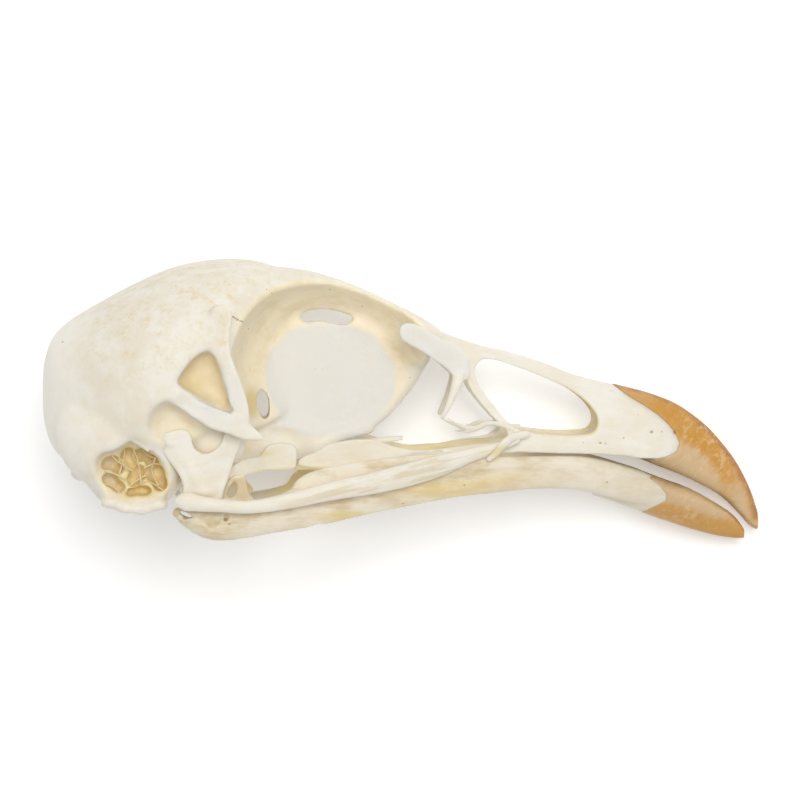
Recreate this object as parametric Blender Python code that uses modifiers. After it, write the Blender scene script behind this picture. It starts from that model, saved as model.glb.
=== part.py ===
"""Skull of a chukar partridge at life size, lying on its left side as it rests on a table.

Every bone is shaped in the skull's own frame, in millimetres: X runs to the tip of the bill, Y to the skull's
left and Z to the crown. The last step turns each bone with the lie of the whole skull and brings it to metres,
with the middle of the footprint at the origin.
"""

import math

import bmesh
import bpy
from mathutils import Matrix, Vector

MM = 0.001

# How the skull lies: rolled on to its left side, on the braincase and the cheek bar, with the bill let down.
LIE_ROLL = math.radians(-91.7)
LIE_PITCH = math.radians(12.4)
SKULL_AT = (-26.29, -10.72, 13.41)

# Sizes that the bones share.
GAP = 0.42
SIDES = (("right", -1.0), ("left", 1.0))
CRANIUM_HALF_WIDTH = 10.8
ROOF_WAIST = 3.6
SEPTUM_HALF = 0.45
JUGAL_OUT = 9.3
JAW_OUT = 7.7
BILL_HALF_WIDTH = 3.4
HORN_GAP = 0.5
UPPER_HORN_LINE = ((41.4, 13.6), (42.6, 11.9), (44.7, 10.8), (47.7, 8.6), (48.1, 7.4), (46.8, 6.3), (44.9, 4.7))
LOWER_HORN_LINE = ((42.6, 7.2), (46.4, 4.2), (46.9, 3.4), (46.3, 2.6), (43.6, -0.4))
BONE = (0.86, 0.80, 0.69)
HORN = (0.62, 0.33, 0.12)


def spline(points, steps):
    """Catmull-Rom points through the given ones, whatever their number of values."""
    result = []
    last = len(points) - 1
    for i in range(last):
        p0, p1 = points[max(i - 1, 0)], points[i]
        p2, p3 = points[i + 1], points[min(i + 2, last)]
        for k in range(steps):
            t = k / steps
            result.append(tuple(
                0.5 * (2 * b + (c - a) * t + (2 * a - 5 * b + 4 * c - d) * t**2 + (3 * b - 3 * c + d - a) * t**3)
                for a, b, c, d in zip(p0, p1, p2, p3)))
    result.append(tuple(points[-1]))
    return result


def closed_spline(points, steps):
    """The same through a closed outline."""
    count = len(points)
    ring = spline([points[(i - 1) % count] for i in range(count + 3)], steps)
    return ring[steps:steps * (count + 1)]


def add_object(name, mesh):
    obj = bpy.data.objects.new(name, mesh)
    bpy.context.scene.collection.objects.link(obj)
    return obj


def finish_bmesh(name, bm):
    """Turns the faces outwards and makes the object."""
    bmesh.ops.recalc_face_normals(bm, faces=bm.faces)
    mesh = bpy.data.meshes.new(name)
    bm.to_mesh(mesh)
    bm.free()
    return add_object(name, mesh)


def egg(centre, radii, turn=(0.0, 0.0, 0.0)):
    """An ellipsoid, turned by degrees about X, Y and Z."""
    bm = bmesh.new()
    rotation = Matrix.Identity(4)
    for angle, axis in zip(turn, "XYZ"):
        rotation = Matrix.Rotation(math.radians(angle), 4, axis) @ rotation
    matrix = Matrix.Translation(centre) @ rotation @ Matrix.Diagonal((*radii, 1.0))
    bmesh.ops.create_uvsphere(bm, u_segments=24, v_segments=14, radius=1.0, matrix=matrix)
    return finish_bmesh("egg", bm)


def loft(stations, up=(0.0, 0.0, 1.0), power=2.0, sides=16, steps=3, upright=False):
    """A bone drawn through stations of (x, y, z, half width, half height), with superellipse sections.

    The half height is measured along up. An upright loft keeps its sections square to X.
    """
    stations = spline(stations, steps)
    centres = [Vector(s[:3]) for s in stations]
    bm = bmesh.new()
    rings = []
    for i, station in enumerate(stations):
        along = centres[min(i + 1, len(centres) - 1)] - centres[max(i - 1, 0)]
        if upright:
            along = Vector((along.x, 0.0, 0.0))
        along.normalize()
        across = Vector(up).cross(along).normalized()
        above = along.cross(across)
        ring = []
        for k in range(sides):
            angle = 2.0 * math.pi * k / sides
            c, s = math.cos(angle), math.sin(angle)
            w = math.copysign(abs(c) ** (2.0 / power), c) * max(station[3], 0.05)
            h = math.copysign(abs(s) ** (2.0 / power), s) * max(station[4], 0.05)
            ring.append(bm.verts.new(centres[i] + across * w + above * h))
        rings.append(ring)
    for low, high in zip(rings, rings[1:]):
        for k in range(sides):
            n = (k + 1) % sides
            bm.faces.new((low[k], low[n], high[n], high[k]))
    bm.faces.new(rings[0])
    bm.faces.new(rings[-1])
    return finish_bmesh("loft", bm)


def column(rows, half_width, power=2.4, sides=20):
    """An upright loft from rows of (x, bottom, top, share of the half width)."""
    return loft([(x, 0.0, (b + t) / 2.0, half_width * w, (t - b) / 2.0) for x, b, t, w in rows],
                power=power, sides=sides, upright=True)


def plate(outline, y, thickness, steps=4):
    """A flat bone, or a cutter, with a smooth outline of (x, z) and its middle plane at y."""
    curve = bpy.data.curves.new("outline", "CURVE")
    curve.dimensions = "2D"
    curve.fill_mode = "BOTH"
    curve.extrude = thickness / 2.0
    points = closed_spline(outline, steps) if steps else outline
    line = curve.splines.new("POLY")
    line.points.add(len(points) - 1)
    for point, (x, z) in zip(line.points, points):
        point.co = (x, z, 0.0, 1.0)
    line.use_cyclic_u = True
    drawn = bpy.data.objects.new("outline", curve)
    bpy.context.scene.collection.objects.link(drawn)
    bpy.context.view_layer.update()
    mesh = bpy.data.meshes.new_from_object(drawn.evaluated_get(bpy.context.evaluated_depsgraph_get()))
    bpy.data.objects.remove(drawn)
    bm = bmesh.new()
    bm.from_mesh(mesh)
    bpy.data.meshes.remove(mesh)
    bmesh.ops.remove_doubles(bm, verts=bm.verts, dist=0.001)
    bmesh.ops.transform(bm, matrix=Matrix.Translation((0.0, y, 0.0)) @ Matrix.Rotation(math.pi / 2, 4, "X"),
                        verts=bm.verts)
    return finish_bmesh("plate", bm)


def bake(obj):
    """Puts the modifiers' result into the mesh."""
    bpy.context.view_layer.update()
    mesh = bpy.data.meshes.new_from_object(obj.evaluated_get(bpy.context.evaluated_depsgraph_get()))
    obj.modifiers.clear()
    old, obj.data = obj.data, mesh
    bpy.data.meshes.remove(old)


def boolean(obj, others, operation):
    """One Boolean on a collection of closed meshes, which are then removed."""
    group = bpy.data.collections.new("operands")
    for other in others:
        group.objects.link(other)
    modifier = obj.modifiers.new("join", "BOOLEAN")
    modifier.operation = operation
    modifier.operand_type = "COLLECTION"
    modifier.collection = group
    modifier.solver = "EXACT"
    bake(obj)
    bpy.data.collections.remove(group)
    for other in others:
        bpy.data.objects.remove(other)


def keep_largest(obj):
    """Drops every closed surface but the largest one."""
    bm = bmesh.new()
    bm.from_mesh(obj.data)
    unseen = set(bm.faces)
    groups = []
    while unseen:
        stack = [unseen.pop()]
        group = []
        while stack:
            face = stack.pop()
            group.append(face)
            for edge in face.edges:
                for neighbour in edge.link_faces:
                    if neighbour in unseen:
                        unseen.remove(neighbour)
                        stack.append(neighbour)
        groups.append(group)
    groups.sort(key=lambda faces: sum(f.calc_area() for f in faces))
    scrap = [face for group in groups[:-1] for face in group]
    bmesh.ops.delete(bm, geom=scrap, context="FACES")
    bm.to_mesh(obj.data)
    bm.free()


def grown(obj, by):
    """A copy of a finished bone, swollen on every side, that clears room for it."""
    copy = add_object("grown", obj.data.copy())
    swell = copy.modifiers.new("swell", "DISPLACE")
    swell.mid_level = 0.0
    swell.strength = by
    bake(copy)
    return copy


def bone(name, forms, cuts=(), additions=(), holes=(), clear_of=(), voxel=0.22, smooth=4, triangles=800):
    """Joins forms, cuts them, adds more, and turns the result into one smooth closed bone."""
    obj = forms[0]
    obj.name = name
    if len(forms) > 1:
        boolean(obj, forms[1:], "UNION")
    if cuts:
        boolean(obj, cuts, "DIFFERENCE")
    if additions:
        boolean(obj, additions, "UNION")
    room = list(holes) + [grown(other, GAP) for other in clear_of]
    if room:
        boolean(obj, room, "DIFFERENCE")
    remesh = obj.modifiers.new("one surface", "REMESH")
    remesh.mode = "VOXEL"
    remesh.voxel_size = voxel
    soften = obj.modifiers.new("soften", "SMOOTH")
    soften.factor = 0.5
    soften.iterations = smooth
    bake(obj)
    keep_largest(obj)
    faces = 2 * len(obj.data.polygons)
    thin_out = obj.modifiers.new("thin out", "DECIMATE")
    thin_out.ratio = min(1.0, triangles / faces)
    thin_out.use_collapse_triangulate = True
    bake(obj)
    keep_largest(obj)
    obj.data.shade_smooth()
    return obj


# Cranium

def braincase():
    return column((
        (0.15, 9.2, 13.4, 0.22),
        (0.8, 7.2, 15.4, 0.50),
        (2.2, 5.9, 16.8, 0.70),
        (4.4, 5.0, 18.1, 0.87),
        (7.2, 4.6, 19.6, 0.98),
        (10.0, 5.4, 20.75, 1.0),
        (12.6, 6.8, 21.3, 0.95),
        (14.8, 7.8, 21.4, 0.83),
        (16.6, 8.6, 21.1, 0.58),
        (18.2, 9.6, 20.4, 0.28),
    ), CRANIUM_HALF_WIDTH, power=2.4, sides=28)


def roof():
    """The frontal bones between the orbits, flat on top, with the gusset that carries the septum."""
    top = loft((
        (12.5, 0.0, 17.9, 8.8, 3.0),
        (15.0, 0.0, 18.2, 8.0, 3.05),
        (17.2, 0.0, 18.7, 5.9, 2.3),
        (19.2, 0.0, 19.2, 4.1, 1.45),
        (21.2, 0.0, 19.2, ROOF_WAIST, 0.95),
        (23.4, 0.0, 18.6, ROOF_WAIST, 0.75),
        (25.5, 0.0, 17.7, 4.1, 0.7),
        (28.0, 0.0, 16.45, 4.6, 0.7),
        (30.2, 0.0, 15.3, 4.1, 0.7),
        (31.6, 0.0, 14.6, 3.0, 0.6),
    ), power=2.5, sides=24)
    gusset = loft((
        (16.0, 0.0, 18.8, 3.2, 1.5),
        (20.5, 0.0, 18.4, 1.6, 1.2),
        (25.0, 0.0, 16.8, 1.7, 1.2),
        (29.5, 0.0, 14.4, 2.0, 1.1),
    ))
    return [top, gusset]


def septum():
    """The upright sheet between the orbits, its stout front edge and the rostrum along its foot."""
    sheet = plate(((14.5, 8.0), (17.5, 7.2), (20.0, 6.8), (24.0, 8.2), (26.7, 10.0), (28.1, 12.2),
                   (29.2, 14.4), (25.0, 17.4), (19.5, 19.0), (14.5, 18.0)), 0.0, 2.0 * SEPTUM_HALF)
    front = loft(((28.0, 0.0, 14.4, 1.2, 1.1), (27.4, 0.0, 12.2, 0.9, 0.85), (26.4, 0.0, 10.6, 0.8, 0.7),
                  (25.2, 0.0, 9.2, 0.75, 0.6), (23.6, 0.0, 8.2, 0.7, 0.5)), up=(1.0, 0.0, 0.0))
    wings = loft(((28.5, -3.9, 15.0, 0.5, 1.0), (28.3, 0.0, 14.3, 0.8, 1.2), (28.5, 3.9, 15.0, 0.5, 1.0)))
    rostrum = loft(((12.5, 0.0, 7.0, 2.6, 1.1), (16.0, 0.0, 7.9, 1.6, 0.8), (19.8, 0.0, 7.2, 1.0, 0.8),
                    (22.0, 0.0, 8.0, 0.8, 0.6), (25.0, 0.0, 8.6, 0.5, 0.5)))
    return [sheet, front, wings, rostrum]


def orbit(side):
    """The hollow of one eye: a bowl that opens outwards from the flat of the septum."""
    return loft((
        (21.9, side * SEPTUM_HALF, 12.7, 4.4, 4.3),
        (21.9, side * 1.0, 12.75, 5.4, 5.2),
        (21.9, side * 2.2, 12.8, 6.5, 6.1),
        (21.85, side * 4.4, 12.9, 7.35, 6.85),
        (21.8, side * 7.5, 13.0, 7.75, 7.1),
        (21.8, side * 13.0, 13.0, 7.9, 7.2),
    ), up=(0.24, 0.0, 0.97), power=2.1, sides=28)


def temple(side):
    """The ear's drum and the bony ring round it."""
    return [egg((7.0, side * 5.9, 6.6), (4.2, 3.5, 3.9)),
            egg((5.4, side * 6.2, 8.6), (4.2, 3.4, 4.2)),
            egg((10.0, side * 8.2, 9.9), (1.8, 1.8, 1.3))]


def temple_hollows(side):
    ear = egg((7.0, side * 9.4, 5.9), (2.9, 2.9, 2.1), turn=(0.0, -8.0, 0.0))
    fossa = egg((12.7, side * 11.0, 12.3), (2.3, 2.6, 2.9), turn=(0.0, 20.0, 0.0))
    under_cheek = egg((12.4, side * 11.0, 8.7), (2.9, 3.0, 1.5), turn=(0.0, 12.0, 0.0))
    return [ear, fossa, under_cheek]


def arches(side):
    """The two processes that frame the temporal opening and meet at one tip."""
    behind_orbit = loft(((13.2, side * 9.2, 17.2, 0.5, 1.2), (13.6, side * 9.8, 14.9, 0.45, 0.75),
                         (14.2, side * 9.8, 12.6, 0.4, 0.6), (14.9, side * 9.45, 10.6, 0.4, 0.6),
                         (16.1, side * 9.05, 8.6, 0.3, 0.3)), up=(1.0, 0.0, 0.0), sides=10)
    cheek = loft(((9.4, side * 9.6, 11.5, 0.8, 0.9), (11.4, side * 9.9, 10.75, 0.42, 0.95),
                  (13.0, side * 9.7, 10.0, 0.42, 1.0), (14.6, side * 9.4, 9.2, 0.42, 0.85),
                  (16.4, side * 9.0, 8.3, 0.3, 0.3)), sides=10)
    return [behind_orbit, cheek]


def make_cranium(quadrates):
    forms = [braincase(), *roof(), *septum(), *temple(-1.0), *temple(1.0)]
    cuts = []
    additions = []
    for _, side in SIDES:
        cuts += [orbit(side), *temple_hollows(side)]
        additions += arches(side)
    cuts.append(egg((0.9, 0.0, 6.6), (1.9, 2.0, 1.6), turn=(0.0, -35.0, 0.0)))
    additions.append(egg((2.9, 0.0, 5.3), (0.8, 0.9, 0.7)))
    holes = [
        plate(((19.6, 17.0), (20.5, 17.6), (22.5, 17.5), (23.4, 16.8), (22.5, 16.3), (20.0, 16.5)), 0.0, 5.0),
        egg((16.6, 0.0, 10.3), (0.5, 4.0, 1.2), turn=(0.0, -8.0, 0.0)),
    ]
    return bone("cranium", forms, cuts, additions, holes, quadrates, voxel=0.25, smooth=5, triangles=4200)


# Upper bill

def make_upper_bill(clear_of):
    forms = [
        loft(((30.9, 0.0, 14.7, 2.9, 0.6), (32.8, 0.0, 14.25, 2.3, 0.55), (36.0, 0.0, 13.5, 2.0, 0.55),
              (39.0, 0.0, 12.45, 2.1, 0.55), (42.0, 0.0, 11.2, 2.8, 0.9)), power=2.6),
        column(((41.2, 7.3, 11.9, 0.80), (42.5, 6.9, 12.0, 0.97), (44.5, 6.8, 11.5, 0.95),
                (47.5, 6.2, 10.3, 0.80), (49.5, 5.2, 9.0, 0.62)), BILL_HALF_WIDTH),
        loft(((37.6, 0.0, 7.5, 4.1, 0.35), (40.0, 0.0, 7.5, 3.8, 0.35), (43.0, 0.0, 7.6, 3.0, 0.6)), sides=20),
    ]
    for _, side in SIDES:
        forms.append(loft(((33.0, side * 4.5, 6.4, 0.35, 0.4), (34.6, side * 4.5, 7.05, 0.45, 0.85),
                           (36.0, side * 4.4, 7.4, 0.5, 1.05), (38.4, side * 4.1, 7.4, 0.5, 1.0),
                           (41.0, side * 3.5, 7.5, 0.55, 0.95), (43.5, side * 2.8, 7.8, 0.8, 1.1)), sides=12))
        forms.append(loft(((31.3, side * 2.0, 14.3, 0.45, 0.8), (32.0, side * 3.1, 13.0, 0.4, 0.5),
                           (32.9, side * 3.9, 11.0, 0.4, 0.45), (34.1, side * 4.3, 9.5, 0.4, 0.45),
                           (35.6, side * 4.45, 8.2, 0.45, 0.6)), up=(1.0, 0.0, 0.0), sides=12))
    return bone("upper_bill", forms, [beyond(UPPER_HORN_LINE, -HORN_GAP, 60.0)], clear_of=clear_of,
                voxel=0.2, triangles=1500)


def beyond(line, shift, far_x):
    """A cutter for all that lies between a line down the bill, moved by shift, and the upright at far_x."""
    edge = [(x + shift, z) for x, z in line]
    return plate((*edge, (far_x, edge[-1][1]), (far_x, edge[0][1])), 0.0, 14.0, steps=0)


def make_upper_horn():
    """The horn that sheathes the front of the upper bill, hooked down at its tip."""
    form = column(((40.8, 7.3, 12.6, 0.9), (42.9, 6.9, 11.85, 1.0), (44.5, 6.6, 11.6, 0.97),
                   (46.5, 5.5, 11.0, 0.88), (48.2, 4.8, 10.2, 0.76), (50.0, 3.95, 8.85, 0.61),
                   (51.4, 3.2, 7.4, 0.48), (52.6, 2.15, 5.8, 0.34), (53.6, 1.1, 3.9, 0.22),
                   (54.35, 0.65, 2.0, 0.12)), BILL_HALF_WIDTH)
    return bone("upper_horn", [form], [beyond(UPPER_HORN_LINE, 0.0, 30.0)], voxel=0.16, smooth=1, triangles=700)


# Cheek and palate

def make_jugal(name, side):
    out = side * JUGAL_OUT
    form = loft(((9.9, out * 0.99, 3.6, 0.3, 0.35), (10.7, out, 3.8, 0.45, 0.6), (12.5, out, 3.55, 0.35, 0.5),
                 (16.5, out * 0.985, 3.5, 0.35, 0.5), (20.0, out * 0.94, 3.95, 0.35, 0.55),
                 (24.0, out * 0.85, 4.65, 0.38, 0.75), (28.5, out * 0.71, 5.7, 0.38, 0.85),
                 (31.5, out * 0.62, 6.55, 0.38, 0.75), (33.4, out * 0.59, 7.4, 0.38, 0.6),
                 (34.8, out * 0.585, 8.15, 0.35, 0.5), (35.8, out * 0.56, 8.7, 0.3, 0.35)), sides=12)
    return bone(name, [form], voxel=0.16, smooth=2, triangles=420)


def make_quadrate(name, side):
    """The bone that hangs the jaw: a head under the ear, a spur towards the orbit and a foot on the jaw."""
    forms = [
        plate(((8.3, 7.9), (9.4, 8.7), (10.8, 8.6), (11.3, 7.6), (12.1, 7.1), (13.1, 7.4), (14.0, 7.6),
               (14.1, 6.6), (13.8, 5.2), (13.3, 3.9), (10.8, 4.1), (10.5, 5.4), (9.7, 6.6)),
              side * 8.2, 1.3),
        loft(((12.6, side * 8.0, 6.4, 0.6, 0.8), (13.7, side * 7.4, 7.6, 0.5, 0.6),
              (14.6, side * 6.6, 8.5, 0.35, 0.4)), sides=10),
        egg((11.9, side * 7.7, 4.45), (1.7, 1.3, 0.8)),
        egg((13.2, side * 6.9, 5.2), (0.8, 0.8, 0.7)),
        egg((9.8, side * 8.2, 8.1), (1.3, 0.95, 0.8)),
    ]
    return bone(name, forms, voxel=0.18, smooth=3, triangles=460)


def make_pterygoid(name, side):
    form = loft(((13.9, side * 5.8, 5.6, 0.5, 0.6), (15.4, side * 4.4, 6.1, 0.6, 0.8),
                 (16.8, side * 3.1, 6.45, 0.7, 1.05), (18.0, side * 2.4, 6.6, 0.7, 1.1),
                 (18.9, side * 2.1, 6.45, 0.6, 0.9)), sides=12)
    return bone(name, [form], voxel=0.16, smooth=2, triangles=260)


def make_palatine(name, side):
    form = loft(((19.4, side * 1.9, 6.1, 0.35, 0.4), (21.0, side * 2.3, 6.6, 0.4, 0.75),
                 (22.8, side * 2.7, 6.85, 0.4, 0.95), (25.0, side * 3.0, 6.9, 0.4, 0.9),
                 (27.2, side * 3.2, 6.7, 0.42, 0.55), (31.0, side * 3.3, 6.95, 0.45, 0.5),
                 (34.5, side * 3.3, 7.3, 0.6, 0.4),
                 (37.1, side * 3.1, 7.4, 0.8, 0.3)), sides=12)
    return bone(name, [form], voxel=0.16, smooth=2, triangles=420)


def make_vomer():
    form = loft(((22.6, 0.0, 6.9, 0.5, 0.3), (25.0, 0.0, 7.35, 0.35, 0.35), (28.0, 0.0, 7.6, 0.25, 0.3)), sides=10)
    return bone("vomer", [form], voxel=0.14, smooth=1, triangles=160)


def make_lacrimal(name, side, roof_bone):
    """The small bone at the front of the orbit, a cap on the brow with a spine hanging from it."""
    forms = [
        loft(((26.9, side * 5.2, 16.0, 0.5, 0.45), (28.2, side * 5.3, 15.4, 0.6, 0.75),
              (29.8, side * 4.9, 14.2, 0.6, 0.95), (31.0, side * 4.0, 13.2, 0.5, 0.7)), sides=12),
        loft(((30.3, side * 4.9, 13.8, 0.4, 0.6), (30.7, side * 5.3, 12.4, 0.35, 0.4),
              (30.4, side * 5.5, 11.0, 0.3, 0.32), (29.9, side * 5.5, 9.6, 0.25, 0.25)),
             up=(1.0, 0.0, 0.0), sides=10),
    ]
    return bone(name, forms, clear_of=roof_bone, voxel=0.16, smooth=2, triangles=420)


# Lower jaw

def ramus(side):
    rows = (
        (9.9, 2.9, 0.45, 0.25, 0.96),
        (10.9, 2.5, 0.6, 0.75, 0.98),
        (12.6, 2.0, 0.95, 1.2, 0.99),
        (14.5, 2.1, 0.7, 1.25, 1.0),
        (17.5, 2.6, 0.55, 1.3, 0.985),
        (20.5, 3.7, 0.5, 1.95, 0.94),
        (24.0, 4.4, 0.5, 1.95, 0.86),
        (28.0, 4.8, 0.5, 1.6, 0.76),
        (32.5, 4.95, 0.5, 1.3, 0.65),
        (37.0, 5.2, 0.55, 1.1, 0.53),
        (40.5, 5.1, 0.6, 1.15, 0.42),
        (43.5, 4.4, 0.8, 1.2, 0.26),
        (46.0, 3.7, 0.9, 1.1, 0.12),
    )
    return loft([(x, side * JAW_OUT * out, z, half, deep) for x, z, half, deep, out in rows], power=2.3)


def make_mandible(clear_of):
    forms = [ramus(-1.0), ramus(1.0)]
    forms.append(loft(((42.6, 0.0, 4.2, 2.4, 0.9), (44.5, 0.0, 4.0, 2.2, 1.2), (46.5, 0.0, 3.6, 1.8, 1.0)), sides=20))
    return bone("mandible", forms, [beyond(LOWER_HORN_LINE, -HORN_GAP, 60.0)], clear_of=clear_of,
                voxel=0.2, smooth=3, triangles=1700)


def make_lower_horn():
    """The horn of the lower bill, a shallow scoop with a blunt tip."""
    form = column(((42.6, 2.9, 6.1, 0.75), (45.0, 2.25, 5.6, 0.72), (47.0, 1.55, 4.9, 0.66), (49.0, 0.9, 4.35, 0.54),
                   (50.7, 0.45, 3.4, 0.42), (52.0, 0.12, 2.3, 0.28), (52.9, 0.05, 1.1, 0.12)), BILL_HALF_WIDTH)
    return bone("lower_horn", [form], [beyond(LOWER_HORN_LINE, 0.0, 30.0)], voxel=0.16, smooth=1, triangles=520)


def lay_down(obj):
    """Turns a finished bone with the whole skull and brings it to metres."""
    obj.data.transform(Matrix.Diagonal((MM, MM, MM, 1.0)))
    turn = Matrix.Rotation(LIE_PITCH, 4, "Y") @ Matrix.Rotation(LIE_ROLL, 4, "X")
    obj.matrix_world = Matrix.Translation([v * MM for v in SKULL_AT]) @ turn


def paint(obj, colour, roughness):
    material = bpy.data.materials.new(obj.name + "_finish")
    material.use_nodes = True
    shader = material.node_tree.nodes["Principled BSDF"]
    shader.inputs["Base Color"].default_value = (*colour, 1.0)
    shader.inputs["Roughness"].default_value = roughness
    shader.inputs["Metallic"].default_value = 0.0
    obj.data.materials.clear()
    obj.data.materials.append(material)


def main():
    for obj in list(bpy.data.objects):
        bpy.data.objects.remove(obj)
    quadrates = [make_quadrate("quadrate_" + name, side) for name, side in SIDES]
    jugals = [make_jugal("jugal_" + name, side) for name, side in SIDES]
    palatines = [make_palatine("palatine_" + name, side) for name, side in SIDES]
    pterygoids = [make_pterygoid("pterygoid_" + name, side) for name, side in SIDES]
    cranium = make_cranium(quadrates)
    lacrimals = [make_lacrimal("lacrimal_" + name, side, [cranium]) for name, side in SIDES]
    upper_bill = make_upper_bill(palatines + jugals + lacrimals + [cranium])
    mandible = make_mandible(quadrates + jugals + [upper_bill])
    vomer = make_vomer()
    bones = [cranium, mandible, upper_bill, vomer, *quadrates, *jugals, *palatines, *pterygoids, *lacrimals]
    horns = [make_upper_horn(), make_lower_horn()]
    skull = bpy.data.collections.new("chukar_skull")
    bpy.context.scene.collection.children.link(skull)
    for obj in bones + horns:
        for group in list(obj.users_collection):
            group.objects.unlink(obj)
        skull.objects.link(obj)
        paint(obj, HORN if obj in horns else BONE, 0.5)
        lay_down(obj)


main()
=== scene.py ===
"""The looks of a chukar partridge's skull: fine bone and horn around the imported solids, and the stage for a picture.

Every bone is shaped in the skull's own frame, in millimetres: X runs to the tip of the bill, Y to the skull's
left and Z to the crown. laid() then turns it on to its left side, in metres, where the solids of the frame lie.
"""

import math
import random

import bmesh
import bpy
from bpy.props import FloatProperty, FloatVectorProperty, PointerProperty
from mathutils import Euler, Matrix, Vector
from mathutils.bvhtree import BVHTree


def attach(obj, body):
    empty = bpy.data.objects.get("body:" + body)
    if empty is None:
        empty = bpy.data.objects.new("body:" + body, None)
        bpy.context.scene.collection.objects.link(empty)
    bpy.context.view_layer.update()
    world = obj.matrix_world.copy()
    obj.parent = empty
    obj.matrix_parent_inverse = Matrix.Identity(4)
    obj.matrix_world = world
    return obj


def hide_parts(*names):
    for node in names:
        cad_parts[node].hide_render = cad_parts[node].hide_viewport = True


bl_info = {
    "name": "Chukar skull",
    "version": (1, 0, 0),
    "blender": (4, 5, 0),
    "location": "View3D > Sidebar > Skull",
    "description": "Models the bones and horn of a chukar skull as it lies on a table",
    "category": "Add Mesh",
}

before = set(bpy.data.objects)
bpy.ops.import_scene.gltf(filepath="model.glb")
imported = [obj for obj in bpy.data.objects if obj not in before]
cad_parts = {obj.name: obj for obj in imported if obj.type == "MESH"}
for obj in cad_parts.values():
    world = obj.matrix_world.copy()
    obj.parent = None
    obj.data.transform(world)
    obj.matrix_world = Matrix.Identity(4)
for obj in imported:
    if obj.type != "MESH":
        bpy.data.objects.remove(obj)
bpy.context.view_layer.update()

MM = 0.001
UP = (0, 0, 1)
AHEAD = (1, 0, 0)
SIDES = (("right", -1), ("left", 1))

# How the skull lies, as in the solids.
LIE_ROLL = math.radians(-91.7)
LIE_PITCH = math.radians(12.4)
SKULL_AT = Vector((-26.29, -10.72, 13.41))
LIE = (Euler((0, LIE_PITCH, 0)).to_matrix() @ Euler((LIE_ROLL, 0, 0)).to_matrix()).to_4x4()

# The view: as far round and above the skull's right side as the photograph's, with its height of view.
VIEW_ROUND = math.radians(3)
VIEW_ABOVE = math.radians(3)
VIEW_DISTANCE = 320
VIEW_AIM = (27, 0, 10.66)
VIEW_SPAN = 60.5
SENSOR = 36

# Lines in (x, z) where bone and horn meet at the surface.
UPPER_HORN_LINE = ((41.6, 13.6), (43.2, 11.75), (44.3, 10.95), (45.5, 10.25), (46.5, 9.55), (47.2, 8.9),
                   (47.75, 8.25), (48.05, 7.5), (47.8, 6.85), (47, 6.45), (45.7, 6.3), (44.6, 6.35),
                   (43.9, 6))
LOWER_HORN_LINE = ((41.4, 7.4), (43.3, 5.75), (44.4, 5.5), (45.4, 5), (46.5, 4.25), (47.05, 3.55),
                   (47, 3.1), (46.2, 2.65), (45.4, 2.2), (43.9, -0.4))


def srgb(red, green, blue):
    """A colour as a screen shows it, in the shader's linear values."""
    return tuple(c / 12.92 if c <= 0.04045 else ((c + 0.055) / 1.055) ** 2.4
                 for c in (red / 255, green / 255, blue / 255))


# Settings that a user would change

def length(name, description, default):
    return FloatProperty(name=name, description=description, default=default, min=0.0, unit="LENGTH", precision=4)


def colour(name, description, default):
    return FloatVectorProperty(name=name, description=description, default=default, size=3, min=0.0, max=1.0,
                               subtype="COLOR")


class SkullSizes(bpy.types.PropertyGroup):
    braincase_width: length("Braincase width", "Widest place of the braincase", 0.0215)
    brow_width: length("Brow width", "The roof's waist between the orbits", 0.0072)
    septum_thickness: length("Septum thickness", "The upright sheet between the orbits", 0.0009)
    cheek_spread: length("Cheek spread", "From one jugal bar to the other, at the back", 0.0186)
    jaw_spread: length("Jaw spread", "From one side of the lower jaw to the other, at the back", 0.0154)
    coarse_grain: length("Coarse grain", "Spacing of the fine surface on the cranium", 0.00016)
    fine_grain: length("Fine grain", "Spacing of the fine surface on the small bones", 0.00009)


class SkullColours(bpy.types.PropertyGroup):
    # Ivory is also painted light on the jaw's shaded left side and along its lower edge.
    ivory: colour("Ivory", "Clean bone", srgb(228, 221, 205))
    chalk: colour("Chalk", "Pale bone", srgb(233, 230, 221))
    # Painted light: the palest tone, for the back of the braincase where the lamp reaches less.
    painted_rear_light: colour("Painted rear light", "The palest bone, at the back of the braincase", srgb(248, 245, 236))
    buff: colour("Buff", "The warmer bone of the lower jaw", srgb(206, 190, 157))
    # Tan is also painted shade, laid in crevices and hollows.
    tan: colour("Tan", "Bone stained in its hollows", srgb(224, 207, 168))
    # Shell is also partly painted shade in the eye, ear and muscle hollows, and painted light in the shaded notch
    # behind the quadrate.
    shell: colour("Shell", "The thin stained bone inside the eye hollow", srgb(241, 230, 203))
    # Ochre is also painted shade, in the deepest crevices, the jaw's groove and the palate's lower edges.
    ochre: colour("Ochre", "Mottling on the crown", srgb(215, 195, 133))
    # Amber is also painted light on the shaded top of the left jaw.
    amber: colour("Amber", "The deepest stain, in the ear", srgb(231, 212, 156))
    cool: colour("Cool", "Thin bone of the septum", srgb(221, 222, 220))
    # Horn is also painted shade deep in the ear's cells.
    horn: colour("Horn", "Amber horn", srgb(198, 142, 48))
    # Dark horn is also painted shade along the crest of the bill.
    horn_dark: colour("Dark horn", "The ridge of the bill and the rims", srgb(158, 104, 50))
    horn_pale: colour("Pale horn", "The horn near the cutting rim", srgb(203, 175, 134))
    horn_flake: colour("Flaking horn", "Pale flakes and scratches", srgb(217, 187, 146))
    speck: colour("Speck", "Dark specks and stains", srgb(122, 98, 66))
    floor: colour("Floor", "The table", srgb(250, 250, 251))


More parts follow.
